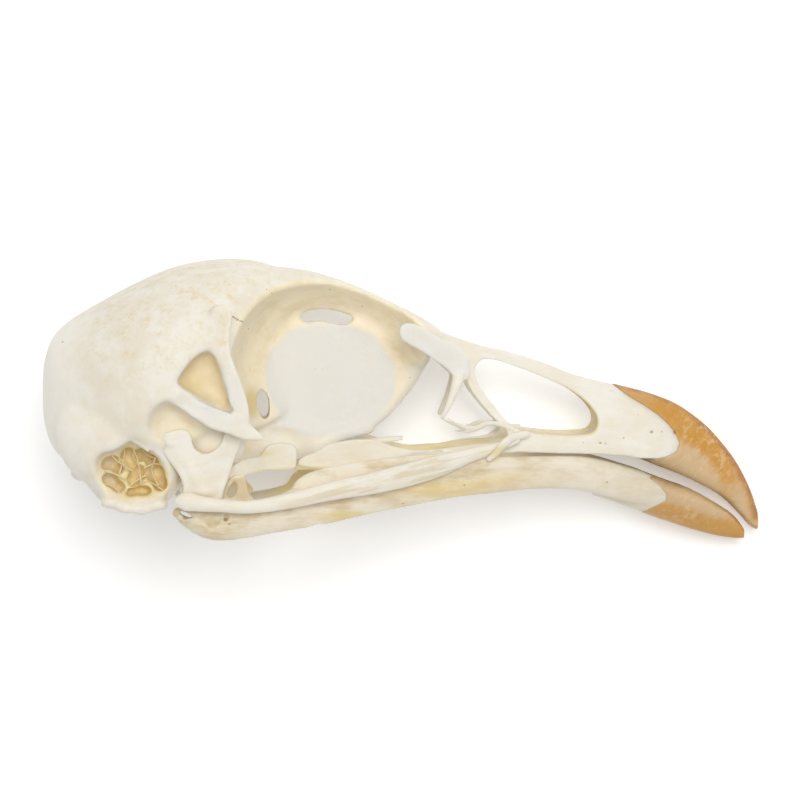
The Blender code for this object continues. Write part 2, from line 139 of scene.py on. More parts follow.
class SkullStage(bpy.types.PropertyGroup):
    key_power: FloatProperty(name="Key light", description="Power of the large soft light", default=1.85, min=0.0,
                             unit="POWER")
    sky: FloatProperty(name="Sky", description="Strength of the light from all round", default=0.55, min=0.0)
    table_glow: FloatProperty(name="Table glow", description="Light that the white table gives of its own",
                              default=0.19, min=0.0)
    floor_size: length("Floor size", "Width of the table that the skull lies on", 1.2)


# Making meshes

# Where an arch has its two half widths, as a share of its half height below and above its middle, and how square
# its rings are (2 is an ellipse).
ARCH_AT = 0.6
ARCH_POWER = 2.6
# The smallest half width and half height of a bar.
THINNEST = 0.04
# The width of a cutter that goes through both sides, and an x behind and in front of all horn.
THROUGH = 14
REAR = 30
FRONT = 60
BONE_IN_HORN = 0.5


def spline(points, steps):
    """Catmull-Rom points through the given ones, whatever their number of values."""
    result = []
    last = len(points) - 1
    for i in range(last):
        p0, p1 = points[max(i - 1, 0)], points[i]
        p2, p3 = points[i + 1], points[min(i + 2, last)]
        for k in range(steps):
            t = k / steps
            result.append(tuple(
                0.5 * (2 * b + (c - a) * t + (2 * a - 5 * b + 4 * c - d) * t**2 + (3 * b - 3 * c + d - a) * t**3)
                for a, b, c, d in zip(p0, p1, p2, p3)))
    result.append(tuple(points[-1]))
    return result


def closed_spline(points, steps):
    """The same through a closed outline."""
    count = len(points)
    ring = spline([points[(i - 1) % count] for i in range(count + 3)], steps)
    return ring[steps:steps * (count + 1)]


def deselect():
    if bpy.context.object and bpy.context.object.mode != "OBJECT":
        bpy.ops.object.mode_set(mode="OBJECT")
    bpy.ops.object.select_all(action="DESELECT")


def pick(obj):
    """Makes obj the only selected object, and the active one."""
    deselect()
    obj.select_set(True)
    bpy.context.view_layer.objects.active = obj


def settle_transform(obj):
    pick(obj)
    bpy.ops.object.transform_apply(location=True, rotation=True, scale=True)
    return obj


def skin(rings):
    """A closed form through rings of points: a circle for each, moved to its points and bridged to the next."""
    deselect()
    sides = len(rings[0])
    for i in range(len(rings)):
        bpy.ops.mesh.primitive_circle_add(vertices=sides, radius=1, location=(0, 0, i))
        if i == 0:
            obj = bpy.context.object
            obj.name = "form"
            bpy.ops.object.mode_set(mode="EDIT")
    bm = bmesh.from_edit_mesh(obj.data)
    for vert, point in zip(bm.verts, [point for ring in rings for point in ring]):
        vert.co = point
    bmesh.update_edit_mesh(obj.data)
    bpy.ops.mesh.select_all(action="SELECT")
    bpy.ops.mesh.bridge_edge_loops()
    bpy.ops.mesh.select_all(action="SELECT")
    bpy.ops.mesh.fill_holes(sides=0)
    bpy.ops.mesh.select_all(action="SELECT")
    bpy.ops.mesh.normals_make_consistent(inside=False)
    bpy.ops.object.mode_set(mode="OBJECT")
    return obj


def bar(stations, side=1, up=UP, power=2, sides=24, steps=5, upright=False):
    """A bone drawn through stations of (x, y, z, half width, half height, and maybe lean), with y times side.

    The half height is measured along up. An upright bar keeps its rings square to X. A lean above 0 makes the
    foot of each ring broader than its top.
    """
    stations = [(x, y * side, *rest) for x, y, *rest in spline(stations, steps)]
    centres = [Vector(s[:3]) for s in stations]
    rings = []
    for i, station in enumerate(stations):
        along = centres[min(i + 1, len(centres) - 1)] - centres[max(i - 1, 0)]
        if upright:
            along = Vector((along.x, 0, 0))
        along.normalize()
        across = Vector(up).cross(along).normalized()
        above = along.cross(across)
        wide, high = (max(size, THINNEST) for size in station[3:5])
        lean = station[5] if len(station) > 5 else 0
        ring = []
        for k in range(sides):
            angle = 2 * math.pi * k / sides
            c, s = (math.copysign(abs(v) ** (2 / power), v) for v in (math.cos(angle), math.sin(angle)))
            ring.append(centres[i] + across * wide * c * (1 - lean * s) + above * high * s)
        rings.append(ring)
    return skin(rings)


def arch(rows, grown=0):
    """An upright form from rows of (x, foot, top, half width low down, half width high up)."""
    share = (1 - ARCH_AT ** ARCH_POWER) ** (1 / ARCH_POWER)
    return bar([(x, 0, (b + t) / 2, (low + high) / 2 / share + grown, (t - b) / 2 + grown,
                 (low - high) / (low + high) / ARCH_AT) for x, b, t, low, high in rows],
               power=ARCH_POWER, sides=72, steps=6, upright=True)


def dish(outline, side, levels):
    """A form whose outline of (x, z) is drawn in from level to level of (y, share of its size)."""
    points = closed_spline(outline, 4)
    middle_x = sum(x for x, _ in points) / len(points)
    middle_z = sum(z for _, z in points) / len(points)
    return skin([[Vector((middle_x + (x - middle_x) * share, side * y, middle_z + (z - middle_z) * share))
                  for x, z in points] for y, share in levels])


def egg(centre, radii, turn=(0, 0, 0), segments=48):
    """An ellipsoid, turned by degrees about X, Y and Z."""
    deselect()
    bpy.ops.mesh.primitive_uv_sphere_add(segments=segments, ring_count=segments // 2, radius=1, location=centre,
                                         rotation=[math.radians(a) for a in turn], scale=radii)
    return settle_transform(bpy.context.object)


def plate(outline, y=0, thickness=THROUGH, steps=5):
    """A flat bone, or a cutter, with a smooth outline of (x, z) and its middle plane at y. steps=0 keeps corners."""
    points = closed_spline(outline, steps) if steps else outline
    deselect()
    bpy.ops.mesh.primitive_circle_add(vertices=len(points), radius=1, fill_type="NGON")
    obj = bpy.context.object
    for vert, (x, z) in zip(obj.data.vertices, points):
        vert.co = (x, y - thickness / 2, z)
    bpy.ops.object.mode_set(mode="EDIT")
    bpy.ops.mesh.select_all(action="SELECT")
    bpy.ops.mesh.extrude_region_move(TRANSFORM_OT_translate={"value": (0, thickness, 0)})
    bpy.ops.mesh.select_all(action="SELECT")
    bpy.ops.mesh.normals_make_consistent(inside=False)
    bpy.ops.object.mode_set(mode="OBJECT")
    return obj


def block(low, high):
    """A cutter through both sides between two corners of (x, z)."""
    return plate((low, (high[0], low[1]), high, (low[0], high[1])), steps=0)


def bowed(obj, path, side):
    """Moves a flat bone sideways, point by point, on to a path of (x, y) seen from above."""
    for vert in obj.data.vertices:
        x = min(max(vert.co.x, path[0][0]), path[-1][0])
        for (x0, y0), (x1, y1) in zip(path, path[1:]):
            if x0 <= x <= x1:
                vert.co.y += side * (y0 + (y1 - y0) * (x - x0) / (x1 - x0))
                break
    return obj


def modify(obj, kind, **settings):
    """Adds a modifier, sets it and applies it."""
    pick(obj)
    modifier = obj.modifiers.new(kind.lower(), kind)
    for key, value in settings.items():
        setattr(modifier, key, value)
    bpy.ops.object.modifier_apply(modifier=modifier.name)


def boolean(obj, others, operation):
    """One Boolean on a collection of closed meshes, which are then removed."""
    if not others:
        return
    group = bpy.data.collections.new("operands")
    for other in others:
        group.objects.link(other)
    modify(obj, "BOOLEAN", operation=operation, operand_type="COLLECTION", collection=group, solver="MANIFOLD")
    bpy.data.collections.remove(group)
    for other in others:
        bpy.data.objects.remove(other)


def keep_largest(obj):
    """Drops every closed surface but the largest one."""
    bm = bmesh.new()
    bm.from_mesh(obj.data)
    unseen = set(bm.faces)
    groups = []
    while unseen:
        stack = [unseen.pop()]
        group = []
        while stack:
            face = stack.pop()
            group.append(face)
            for edge in face.edges:
                for neighbour in edge.link_faces:
                    if neighbour in unseen:
                        unseen.remove(neighbour)
                        stack.append(neighbour)
        groups.append(group)
    groups.sort(key=len)
    bmesh.ops.delete(bm, geom=[face for group in groups[:-1] for face in group], context="FACES")
    bm.to_mesh(obj.data)
    bm.free()


def fused(name, forms, cuts=(), additions=(), holes=(), late=(), grain=None, blend=0, smooth=3, rough=0.03, near=None,
          lines=None, share=1):
    """Joins forms, cuts them, adds more, and turns the result into one finely meshed bone.

    blend melts the first forms into each other. near is {attribute: (cutters, reach)}: how near each point lies to
    the surface that a cutter left, and lines the same for lines of points. share is how much of the mesh is kept.
    """
    grain = grain or sizes().fine_grain / MM
    trees = {key: ([tree_of(cutter) for cutter in cutters], reach) for key, (cutters, reach) in (near or {}).items()}
    for key, (paths, reach) in (lines or {}).items():
        trees[key] = ([tree_of_line(path) for path in paths], reach)
    obj = forms[0]
    obj.name = name
    boolean(obj, forms[1:], "UNION")
    boolean(obj, cuts, "DIFFERENCE")
    if blend:
        modify(obj, "REMESH", mode="VOXEL", voxel_size=grain * 1.3)
        modify(obj, "SMOOTH", factor=0.5, iterations=blend)
    boolean(obj, additions, "UNION")
    boolean(obj, holes, "DIFFERENCE")
    boolean(obj, late, "UNION")
    modify(obj, "REMESH", mode="VOXEL", voxel_size=grain)
    modify(obj, "SMOOTH", factor=0.5, iterations=smooth)
    keep_largest(obj)
    if rough:
        roughen(obj, rough)
    if share < 1:
        modify(obj, "DECIMATE", ratio=share)
    for key, (found, reach) in trees.items():
        soak(obj, key, found, reach)
    return obj


def tree_of(obj):
    mesh = obj.data
    return BVHTree.FromPolygons([v.co for v in mesh.vertices], [p.vertices for p in mesh.polygons])


def tree_of_line(stations):
    guide = bar(stations, sides=8)
    tree = tree_of(guide)
    bpy.data.objects.remove(guide)
    return tree


def soak(obj, key, trees, reach):
    """Writes how near each point lies to the trees' surfaces, 1 on them and 0 past reach."""
    layer = obj.data.attributes.new(key, "FLOAT", "POINT")
    values = []
    for vert in obj.data.vertices:
        found = [tree.find_nearest(vert.co, reach)[3] for tree in trees]
        values.append(1 - min(reach if away is None else away for away in found) / reach)
    layer.data.foreach_set("value", values)


def roughen(obj, depth):
    """Gives the surface the slight unevenness of real bone, in two sizes."""
    for size, share in ((2.6, 1), (0.7, 0.35)):
        texture = bpy.data.textures.new("unevenness", "CLOUDS")
        texture.noise_scale = size
        texture.noise_depth = 3
        modify(obj, "DISPLACE", texture=texture, texture_coords="LOCAL", strength=depth * share, mid_level=0.5)
        bpy.data.textures.remove(texture)


def laid(obj):
    """Turns a finished bone with the whole skull and brings it to metres."""
    obj.matrix_world = Matrix.Translation(SKULL_AT * MM) @ LIE @ Matrix.Diagonal((MM, MM, MM, 1))
    return settle_transform(obj)


def show(obj, nodes, material):
    """Lays a piece down, paints it, and has it stand for the nodes that it replaces."""
    laid(obj)
    bpy.ops.object.shade_smooth()
    obj.data.materials.clear()
    obj.data.materials.append(material)
    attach(obj, "root")
    if nodes:
        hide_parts(*nodes)


def sizes():
    return bpy.context.scene.skull_sizes


def colours():
    return bpy.context.scene.skull_colours


def half(value):
    return value / MM / 2


# Cranium

def braincase():
    wide = half(sizes().braincase_width)
    return bar([(x, 0, (foot + top) / 2, wide * share, (top - foot) / 2) for x, foot, top, share in (
        (0.15, 9.2, 13.4, 0.22),
        (0.8, 7.2, 15.4, 0.50),
        (2.2, 5.9, 16.8, 0.70),
        (4.4, 5, 18.1, 0.87),
        (7.2, 4.6, 19.6, 0.98),
        (10, 5.4, 20.75, 1),
        (12.6, 6.8, 21.26, 0.95),
        (14.8, 7.8, 21.35, 0.83),
        (16.6, 8.6, 21.1, 0.58),
        (18.2, 9.6, 20.4, 0.28),
    )], power=2.4, sides=96, steps=8, upright=True)


def roof():
    """The frontal bones between the orbits, flat on top, with the gusset that carries the septum."""
    waist = half(sizes().brow_width)
    top = bar((
        (12.5, 0, 17.9, 8.8, 3),
        (15, 0, 18.2, 8, 3.05),
        (17.2, 0, 18.7, 5.9, 2.3),
        (19.2, 0, 19.2, 4.1, 1.45),
        (21.2, 0, 19.2, waist, 0.95),
        (23.4, 0, 18.6, waist, 0.75),
        (25.5, 0, 17.7, 4.1, 0.7),
        (27.6, 0, 16.7, 4.6, 0.68),
        (29.2, 0, 15.85, 4.3, 0.62),
        (30.6, 0, 15.1, 3.6, 0.5),
    ), power=2.5, sides=64, steps=8)
    gusset = bar((
        (16, 0, 18.8, 3.2, 1.5),
        (20.5, 0, 18.4, 1.6, 1.2),
        (25, 0, 16.8, 1.7, 1.2),
        (29.5, 0, 14.4, 2, 1.1),
    ), sides=40)
    return [top, gusset]


def septum():
    """The upright sheet between the orbits, its stout front edge and the rostrum along its foot."""
    sheet = plate(((14.5, 8), (17.5, 7.2), (20, 6.8), (24, 8.2), (26.7, 10), (28.1, 12.2),
                   (29.2, 14.4), (25, 17.4), (19.5, 19), (14.5, 18)), 0, sizes().septum_thickness / MM)
    front = bar(((28.3, 0, 14.5, 1.2, 1.1), (27.7, 0, 12.4, 0.8, 0.7), (26.7, 0, 10.9, 0.65, 0.55),
                 (25.4, 0, 9.4, 0.6, 0.5), (23.6, 0, 8.3, 0.6, 0.45)), up=AHEAD)
    wings = bar(((28.5, -3.9, 15, 0.5, 1), (28.3, 0, 14.3, 0.8, 1.2), (28.5, 3.9, 15, 0.5, 1)), sides=40)
    rostrum = bar(((12.5, 0, 7, 2.6, 1.1), (16, 0, 7.9, 1.6, 0.8), (19.8, 0, 7.2, 1, 0.8),
                   (22, 0, 8, 0.8, 0.6), (25, 0, 8.6, 0.5, 0.5)), sides=40)
    base = egg((16.4, 0, 7.3), (4.2, 2.4, 1.5))
    return [sheet, front, wings, rostrum, base]


def orbit(side):
    """The hollow of one eye: a bowl that opens outwards from the flat of the septum."""
    flat = half(sizes().septum_thickness)
    return bar(((21.9, flat, 12.7, 3.6, 3.5), (21.9, flat + 0.25, 12.7, 4.7, 4.5), (21.9, 1.3, 12.75, 5.6, 5.35),
                (21.9, 2.4, 12.8, 6.5, 6.1), (21.85, 4.4, 12.9, 7.3, 6.8), (21.8, 7.5, 13, 7.75, 7.1),
                (21.8, 13, 13, 7.9, 7.2)), side, up=(0.24, 0, 0.97), power=2.1, sides=80, steps=8)


def temple(side):
    """The ear's drum, the bony ring round it with the lobes of its lower rim, and the bone behind the quadrate."""
    forms = [egg((7, side * 5.9, 6.6), (4, 3.5, 3.9)),
             egg((5.4, side * 6.2, 8.6), (4.2, 3.4, 4.2)),
             egg((12.9, side * 6.5, 7.9), (2.4, 1.5, 1.8))]
    for x, z in ((5.2, 3.6), (6.4, 3.2), (7.6, 3.1), (8.8, 3.4)):
        forms.append(egg((x, side * 8, z), (0.8, 0.75, 0.5), segments=24))
    return forms


EAR_OUTLINE = ((4.15, 6.6), (4.2, 5.6), (4.6, 4.7), (5.3, 4), (6.4, 3.75), (7.7, 3.8), (8.9, 3.9), (9.6, 4.4),
               (9.75, 5.2), (9.4, 6.2), (8.8, 7), (7.9, 7.7), (7, 8.3), (6.5, 8), (5.5, 7.45), (4.7, 7.3))
# The ear's cells as (x, z, half length, half height, turn in degrees).
EAR_CELLS = ((5.2, 6.5, 0.6, 0.4, -25), (5.75, 6.1, 0.45, 0.35, 30), (6.45, 7, 0.36, 0.6, 15),
             (6.75, 6.45, 0.3, 0.4, -10), (7.6, 7.1, 0.6, 0.42, -25), (8.35, 6.7, 0.5, 0.4, -40),
             (8.6, 5.7, 0.6, 0.7, 8), (8.9, 5, 0.5, 0.55, -10), (7.3, 5.7, 0.55, 0.5, -15),
             (6.95, 5.2, 0.42, 0.4, 30), (5.2, 5.2, 0.55, 0.42, 10), (5.75, 4.75, 0.5, 0.36, 25),
             (7.6, 4.4, 0.6, 0.3, 0), (6.8, 4.3, 0.4, 0.26, -10))
# How far out their middles lie, half their depth, and how much larger than that list they are cut.
EAR_MIDDLE = 7.35
EAR_CELL_DEPTH = 1
EAR_CELL_GROWTH = 1.22


def ear(side):
    """The drum's cavity, a shallow bowl."""
    return dish(EAR_OUTLINE, side, ((12, 1.1), (9.2, 1.02), (8.4, 0.96), (7.9, 0.86), (7.55, 0.66), (7.4, 0.35)))


def ear_cells(side):
    return [egg((x, side * EAR_MIDDLE, z), (long * EAR_CELL_GROWTH, EAR_CELL_DEPTH, high * EAR_CELL_GROWTH),
                turn=(0, turn, 0), segments=28) for x, z, long, high, turn in EAR_CELLS]


def fenestra(side):
    """The opening between the two processes, closed by bone deep inside."""
    return dish(((12.15, 14.75), (12.7, 14.7), (13.25, 13.6), (13.65, 12), (14.15, 10.5), (13.2, 10.7), (12.2, 11.1),
                 (11.1, 11.8), (10.15, 12.45), (10.55, 13.3), (11.4, 14.3)), side,
                ((13, 1.02), (9.9, 1), (9.2, 0.95), (8.7, 0.82), (8.4, 0.55)))


def fossa(side):
    """The hollow under the cheek process, where the jaw's muscles ran."""
    return dish(((8.2, 9.6), (8.8, 10.6), (9.7, 11), (10.5, 10.5), (11.4, 9.8), (12.5, 9.3), (13.6, 8.9), (14.5, 8.6),
                 (14.5, 7.3), (13.2, 6.5), (11.2, 6.7), (9.6, 7.5), (8.3, 8.4)), side,
                ((13, 1.15), (10.2, 1.08), (9.6, 0.97), (9, 0.8), (8.6, 0.56), (8.35, 0.25)))


POSTORBITAL = ((12.6, 17.6), (12.75, 15.8), (13, 14.75), (13.3, 13.9), (13.5, 12.9), (13.8, 11.9), (13.95, 11.1),
               (14.3, 10.4), (14.75, 9.7), (15.2, 9.3), (15.45, 9.8), (15.35, 10.8), (15.15, 11.6), (14.85, 12.5),
               (14.5, 13.4), (14.15, 14.3), (14, 15.2), (14.05, 16.3), (14.2, 17.6), (13.4, 18.2))
ZYGOMATIC = ((8.6, 12.9), (9.7, 12.5), (10.4, 12.05), (11.1, 11.55), (11.8, 11.15), (12.6, 10.75), (13.3, 10.5),
             (14, 10.25), (14.7, 10), (15.3, 9.6), (15.9, 9.05), (16.5, 8.35), (16.2, 8.2), (15.5, 8.2),
             (14.8, 8.35), (14, 8.7), (13.3, 8.9), (12.6, 9.15), (11.8, 9.65), (11.1, 10.15), (10.4, 10.65),
             (9.6, 11.1), (8.5, 11.5), (8, 12.2))
PROCESS_THICKNESS = 0.75


def processes(side):
    """The two flat processes that frame the temporal opening, and the ear's small spine."""
    blades = [bowed(plate(outline, thickness=PROCESS_THICKNESS), path, side) for outline, path in (
        (POSTORBITAL, ((12.6, 9.35), (14, 9.6), (15.5, 9.4))),
        (ZYGOMATIC, ((8, 9.9), (10, 10.15), (12, 10), (14, 9.7), (16.5, 9.1))))]
    spine = bar(((6.6, 9, 8.7, 0.45, 0.4), (7.3, 9.1, 8.05, 0.22, 0.2), (8.15, 9.05, 7.35, 0.12, 0.12)), side,
                sides=12)
    return [*blades, spine]


def make_cranium():
    eyes = [orbit(side) for _, side in SIDES]
    ears = [ear(side) for _, side in SIDES]
    cells = [cell for _, side in SIDES for cell in ear_cells(side)]
    temples = [make(side) for _, side in SIDES for make in (fenestra, fossa)]
    slits = [bar(((9.6, 10.4, 11.8, 0.6, 0.08), (10.2, 10.4, 11.45, 0.6, 0.11), (10.9, 10.4, 11.15, 0.6, 0.05)), side,
                 sides=12) for _, side in SIDES]
    magnum = egg((1.4, 0, 7.2), (3, 1.9, 1.6), turn=(0, -35, 0))
    hollow = egg((4.6, 0, 8.6), (2.7, 2.9, 2.5))
    condyle = egg((2.9, 0, 5.3), (0.8, 0.9, 0.7))
    window = plate(((19.5, 16.9), (19.9, 17.4), (21.4, 17.55), (22.9, 17.2), (23.45, 16.85), (23, 16.4), (22, 16.5),
                    (21, 16.7), (19.8, 16.6)), thickness=5)
    pinhole = egg((19, 0, 17.45), (0.3, 2.4, 0.13))
    optic = egg((16.6, 0, 10.4), (0.5, 4, 1.2), turn=(0, -8, 0))
    return fused("cranium_bone", [braincase(), *roof(), *septum(), *temple(-1), *temple(1)],
                 [*eyes, *ears, *temples, magnum, hollow], [condyle, *processes(-1), *processes(1)],
                 [*slits, *cells, window, pinhole, optic, block((30, 3), (40, 20))], grain=sizes().coarse_grain / MM,
                 blend=9, rough=0.05, share=0.72,
                 near={"eye_hollow": (eyes, 0.7), "ear_hollow": (ears, 0.5), "ear_cell": (cells, 0.35),
                       "muscle_hollow": (temples, 0.5)})


# Upper bill

def beyond(line, far_x):
    """A cutter for all that lies between a line down the bill and the upright at far_x."""
    return plate((*line, (far_x, line[-1][1]), (far_x, line[0][1])), steps=0)


def bone_end(line):
    """A cutter that ends the bone a little inside its horn."""
    return beyond([(x + BONE_IN_HORN, z) for x, z in line], FRONT)


# The whole upper bill as (x, foot, top, half width low down, half width high up).
UPPER_BILL = (
    (28.6, 6.4, 16.8, 4.4, 3.6), (30.4, 6.5, 15.75, 4.6, 3), (32.9, 6.7, 14.85, 4.65, 2.3),
    (35.3, 6.9, 14.3, 4.55, 1.8), (37.8, 6.8, 13.5, 4.15, 1.7), (40.1, 6.7, 12.6, 3.65, 1.75),
    (42, 6.7, 12.1, 3.2, 1.75), (44.5, 6.45, 11.5, 2.8, 1.6), (46.5, 5.6, 10.9, 2.5, 1.4),
    (48.2, 4.9, 10.15, 2.2, 1.15), (50, 4.05, 8.85, 1.8, 0.92), (51.4, 3.28, 7.4, 1.4, 0.72),
    (52.6, 2.2, 5.8, 1, 0.53), (53.6, 1.1, 3.9, 0.62, 0.38), (54.25, 0.75, 2, 0.33, 0.24))
NOSTRIL = ((32.5, 12.9), (32.75, 13.5), (33.3, 13.8), (34.2, 13.7), (35.5, 13.3), (37, 12.75), (38.5, 12.1),
           (39.8, 11.45), (41, 10.5), (41.65, 9.6), (41.7, 8.85), (41.3, 8.35), (40.3, 8.2), (38.6, 8.2),
           (37, 8.35), (35.6, 8.65), (34.5, 9.6), (33.9, 10.4), (33.3, 11.1), (32.8, 11.9))
BEHIND_NOSTRIL = ((26, 4), (33.6, 4), (33.7, 6.6), (34.2, 7.5), (34.85, 8.15), (34.75, 8.55), (34.05, 9.25),
                  (33.45, 9.9), (32.85, 10.6), (32.25, 11.4), (31.9, 12.1), (31.6, 12.75), (31.1, 13.2),
                  (30.3, 13.7), (29.4, 14.2), (26, 14.6))
BILL_WALL = 0.52
# How much lower the left side's splinters behind the nostril lie, so that the right side hides them.
LEFT_SLIVER = 0.38
# The splinters behind the nostril and the hooked one before the jugal bar, as stations of a bar.
NASAL_SLIVER = ((30.3, 4, 9.5, 0.07, 0.07), (31.2, 4.1, 9, 0.12, 0.14), (32.3, 4.2, 8.75, 0.14, 0.2),
                (33.3, 4.25, 9.1, 0.15, 0.2), (34.4, 4.25, 9, 0.18, 0.2), (35.6, 4.05, 8.4, 0.35, 0.3))
NASAL_FORK = ((31.4, 4.1, 8.45, 0.07, 0.07), (32.2, 4.15, 8.5, 0.1, 0.1), (33.1, 4.2, 8.95, 0.14, 0.14))
HOOKED_SLIVER = ((33.2, 5.7, 6.45, 0.13, 0.18), (33.8, 5.74, 6.95, 0.16, 0.28), (34.4, 5.66, 7.6, 0.17, 0.34),
                 (35.1, 5.4, 8.1, 0.22, 0.34), (36.4, 4.2, 8.3, 0.3, 0.28))
# Pits as (x, y, z, half length, half height).
BILL_PITS = ((45.9, 2.35, 8.3, 0.24, 0.16), (46.7, 2.15, 8.3, 0.15, 0.13), (47.75, 1.8, 8.25, 0.22, 0.2),
             (43.7, 3, 7.9, 0.17, 0.14), (41.9, 3.45, 7.55, 0.55, 0.1), (42.9, 1.35, 11.35, 0.15, 0.12))
JAW_PITS = ((13.75, 8.45, 2.45, 0.2, 0.26), (42.4, 3.15, 4.65, 0.55, 0.07), (43, 2.9, 4, 0.2, 0.06),
            (44.5, 2.4, 3.95, 0.25, 0.06), (37.4, 4.75, 5.2, 0.8, 0.05))
# How far the walls run on below the bill's foot, before they are trimmed along its lower edge.
BILL_SKIRT = 1.5
BILL_EDGE = ((26, 6.75), (33.6, 6.85), (35.8, 6.95), (38.1, 6.85), (41.9, 6.7), (44, 6.55), (45.6, 6.2),
             (47.2, 5.6), (49, 4.7), (51, 3.4), (56, -1))


def make_upper_bill():
    cavity = arch([(x - 0.4 if x > 41 else x, foot - 2.2, top - BILL_WALL * 1.2, low - BILL_WALL,
                    high - BILL_WALL * 0.8) for x, foot, top, low, high in UPPER_BILL[:7]])
    walls = arch([(x, foot - BILL_SKIRT, top, low, high) for x, foot, top, low, high in UPPER_BILL[:11]])
    below = plate((*BILL_EDGE, (56, -4), (26, -4)), steps=0)
    shelf = bar(((37, 0, 7.3, 3.9, 0.3), (40, 0, 7.3, 3.5, 0.35), (43, 0, 7.3, 2.8, 0.45), (45.5, 0, 6.9, 2.4, 0.4)),
                sides=40)
    slivers = []
    for _, side in SIDES:
        low = LEFT_SLIVER if side > 0 else 0
        for sliver in (NASAL_SLIVER, NASAL_FORK):
            slivers.append(bar([(x, y, z - low, wide, high) for x, y, z, wide, high in sliver], side, sides=12))
        slivers.append(bar(HOOKED_SLIVER, side, sides=16))
    pits = [egg((x, side * y, z), (wide, 0.5, high), segments=16) for x, y, z, wide, high in BILL_PITS
            for _, side in SIDES]
    nostril = plate(NOSTRIL)
    return fused("upper_bill_bone", [walls], [cavity, below], [shelf],
                 [nostril, plate(BEHIND_NOSTRIL, steps=0), block((26, 3), (29.6, 18)), *pits,
                  bone_end(UPPER_HORN_LINE)], slivers, smooth=4, near={"nostril": ([nostril], 0.3)})


def make_horn(name, rows, hollow, line, ridge, rim, reaches):
    """A horn sheath over the rows of a bill, hollow inside the mouth, that knows its ridge and its cutting rims."""
    guide = (0.1, 0.1)
    rims = [[(x, side * y, z, *guide) for x, y, z in rim] for _, side in SIDES]
    return fused(name, [arch(rows, grown=0.05)], [beyond(line, REAR), bar(hollow, sides=32)], rough=0.04,
                 lines={"ridge": ([[(x, 0, z, *guide) for x, z in ridge]], reaches[0]), "rim": (rims, reaches[1])})


def make_upper_horn():
    """The horn that sheathes the front of the upper bill, hooked down at its tip."""
    rows = UPPER_BILL[6:]
    return make_horn("upper_bill_horn", UPPER_BILL[5:],
                     ((43, 0, 5.9, 2.2, 0.7), (47, 0, 4.9, 1.8, 0.8), (50, 0, 3.7, 1.2, 0.7), (52, 0, 2.4, 0.6, 0.4)),
                     UPPER_HORN_LINE, [(x, top) for x, _, top, _, _ in rows],
                     [(x, low, foot) for x, foot, _, low, _ in rows], (3.6, 1.2))


# Cheek and palate

LEFT_HANG = 0.75


def hang(x, side):
    """How far the left cheek and the top of the left jaw lie lower towards the hinge, hidden by the right side."""
    return LEFT_HANG * min(max((28 - x) / 10, 0), 1) if side > 0 else 0


def make_jugal(name, side):
    out = half(sizes().cheek_spread)
    form = bar([(x, out * near, z - hang(x, side), wide, high) for x, near, z, wide, high in (
        (10, 0.99, 3.7, 0.3, 0.3), (10.75, 1, 3.75, 0.42, 0.7), (12, 1, 3.55, 0.4, 0.58),
        (13.5, 0.995, 3.4, 0.36, 0.5), (15.4, 0.99, 3.3, 0.36, 0.5), (18, 0.97, 3.65, 0.36, 0.57),
        (21.5, 0.91, 4.38, 0.36, 0.68), (25, 0.82, 5, 0.36, 0.83), (28, 0.725, 5.65, 0.36, 0.86),
        (30.2, 0.66, 6.25, 0.34, 0.74), (32, 0.61, 6.85, 0.3, 0.54), (33.6, 0.58, 7.25, 0.25, 0.42),
        (35, 0.56, 7.7, 0.2, 0.28), (35.7, 0.55, 7.9, 0.16, 0.16))], side)
    strands = [bar([(x, out * near + 0.1, z - hang(x, side), 0.27, high) for x, near, z, high in line], side)
               for line in (((15, 0.99, 3.5, 0.1), (18, 0.97, 3.9, 0.22), (21.5, 0.91, 4.65, 0.25),
                             (25, 0.82, 5.45, 0.28), (28, 0.725, 6.15, 0.26), (30.5, 0.65, 6.65, 0.12)),
                            ((20, 0.94, 3.75, 0.1), (23, 0.87, 4.3, 0.18), (26.5, 0.77, 4.9, 0.2),
                             (29.5, 0.68, 5.65, 0.2), (31.5, 0.62, 6.4, 0.12)))]
    return fused("jugal_bone_" + name, [form, *strands], smooth=2)


QUADRATE_OUTLINE = ((8.1, 8.65), (8.7, 8.8), (9.5, 8.8), (10.2, 9), (10.85, 8.95), (11.2, 8.5), (11.3, 7.9),
                    (11.6, 7.45), (12.2, 7.2), (12.8, 7.4), (13.35, 7.9), (13.7, 8.75), (14.3, 8.7), (14.85, 8.35),
                    (14.7, 7.5), (14.35, 6.7), (14, 5.6), (13.6, 4.5), (13.2, 3.7), (10.75, 3.9), (10.6, 4.9),
                    (10.2, 5.8), (9.6, 6.6), (9, 7.4), (8.4, 8.1))


def make_quadrate(name, side):
    """The bone that hangs the jaw: a head under the ear, a spur towards the orbit and a foot on the jaw."""
    body = bowed(plate(QUADRATE_OUTLINE, thickness=0.9), ((8, 8.3), (11, 8.5), (13, 8.1), (14.8, 7.5)), side)
    foot = egg((11.9, side * 7.7, 4.45), (1.6, 1.3, 0.8))
    knob = egg((13.2, side * 6.9, 5.2), (0.8, 0.8, 0.7))
    head = egg((9.5, side * 8.2, 8.1), (1.1, 0.85, 0.6), turn=(0, 30, 0))
    stem = bar(((9.4, 8.3, 8, 0.45, 0.5), (11, 8.5, 6.4, 0.5, 0.7), (12.1, 8.3, 4.6, 0.6, 0.9)), side, sides=20)
    return fused("quadrate_bone_" + name, [body, foot, knob, head, stem], blend=2)


PTERYGOID_OUTLINE = ((13.5, 5.5), (14.3, 6.1), (15.2, 6.55), (16.2, 6.65), (16.55, 6.95), (16.9, 7.4), (17.7, 7.6),
                     (18.5, 7.55), (19, 7.3), (19.1, 6.7), (18.95, 5.7), (18, 5.6), (17.1, 5.65), (16, 5.5),
                     (15.1, 5.3), (14.2, 5))


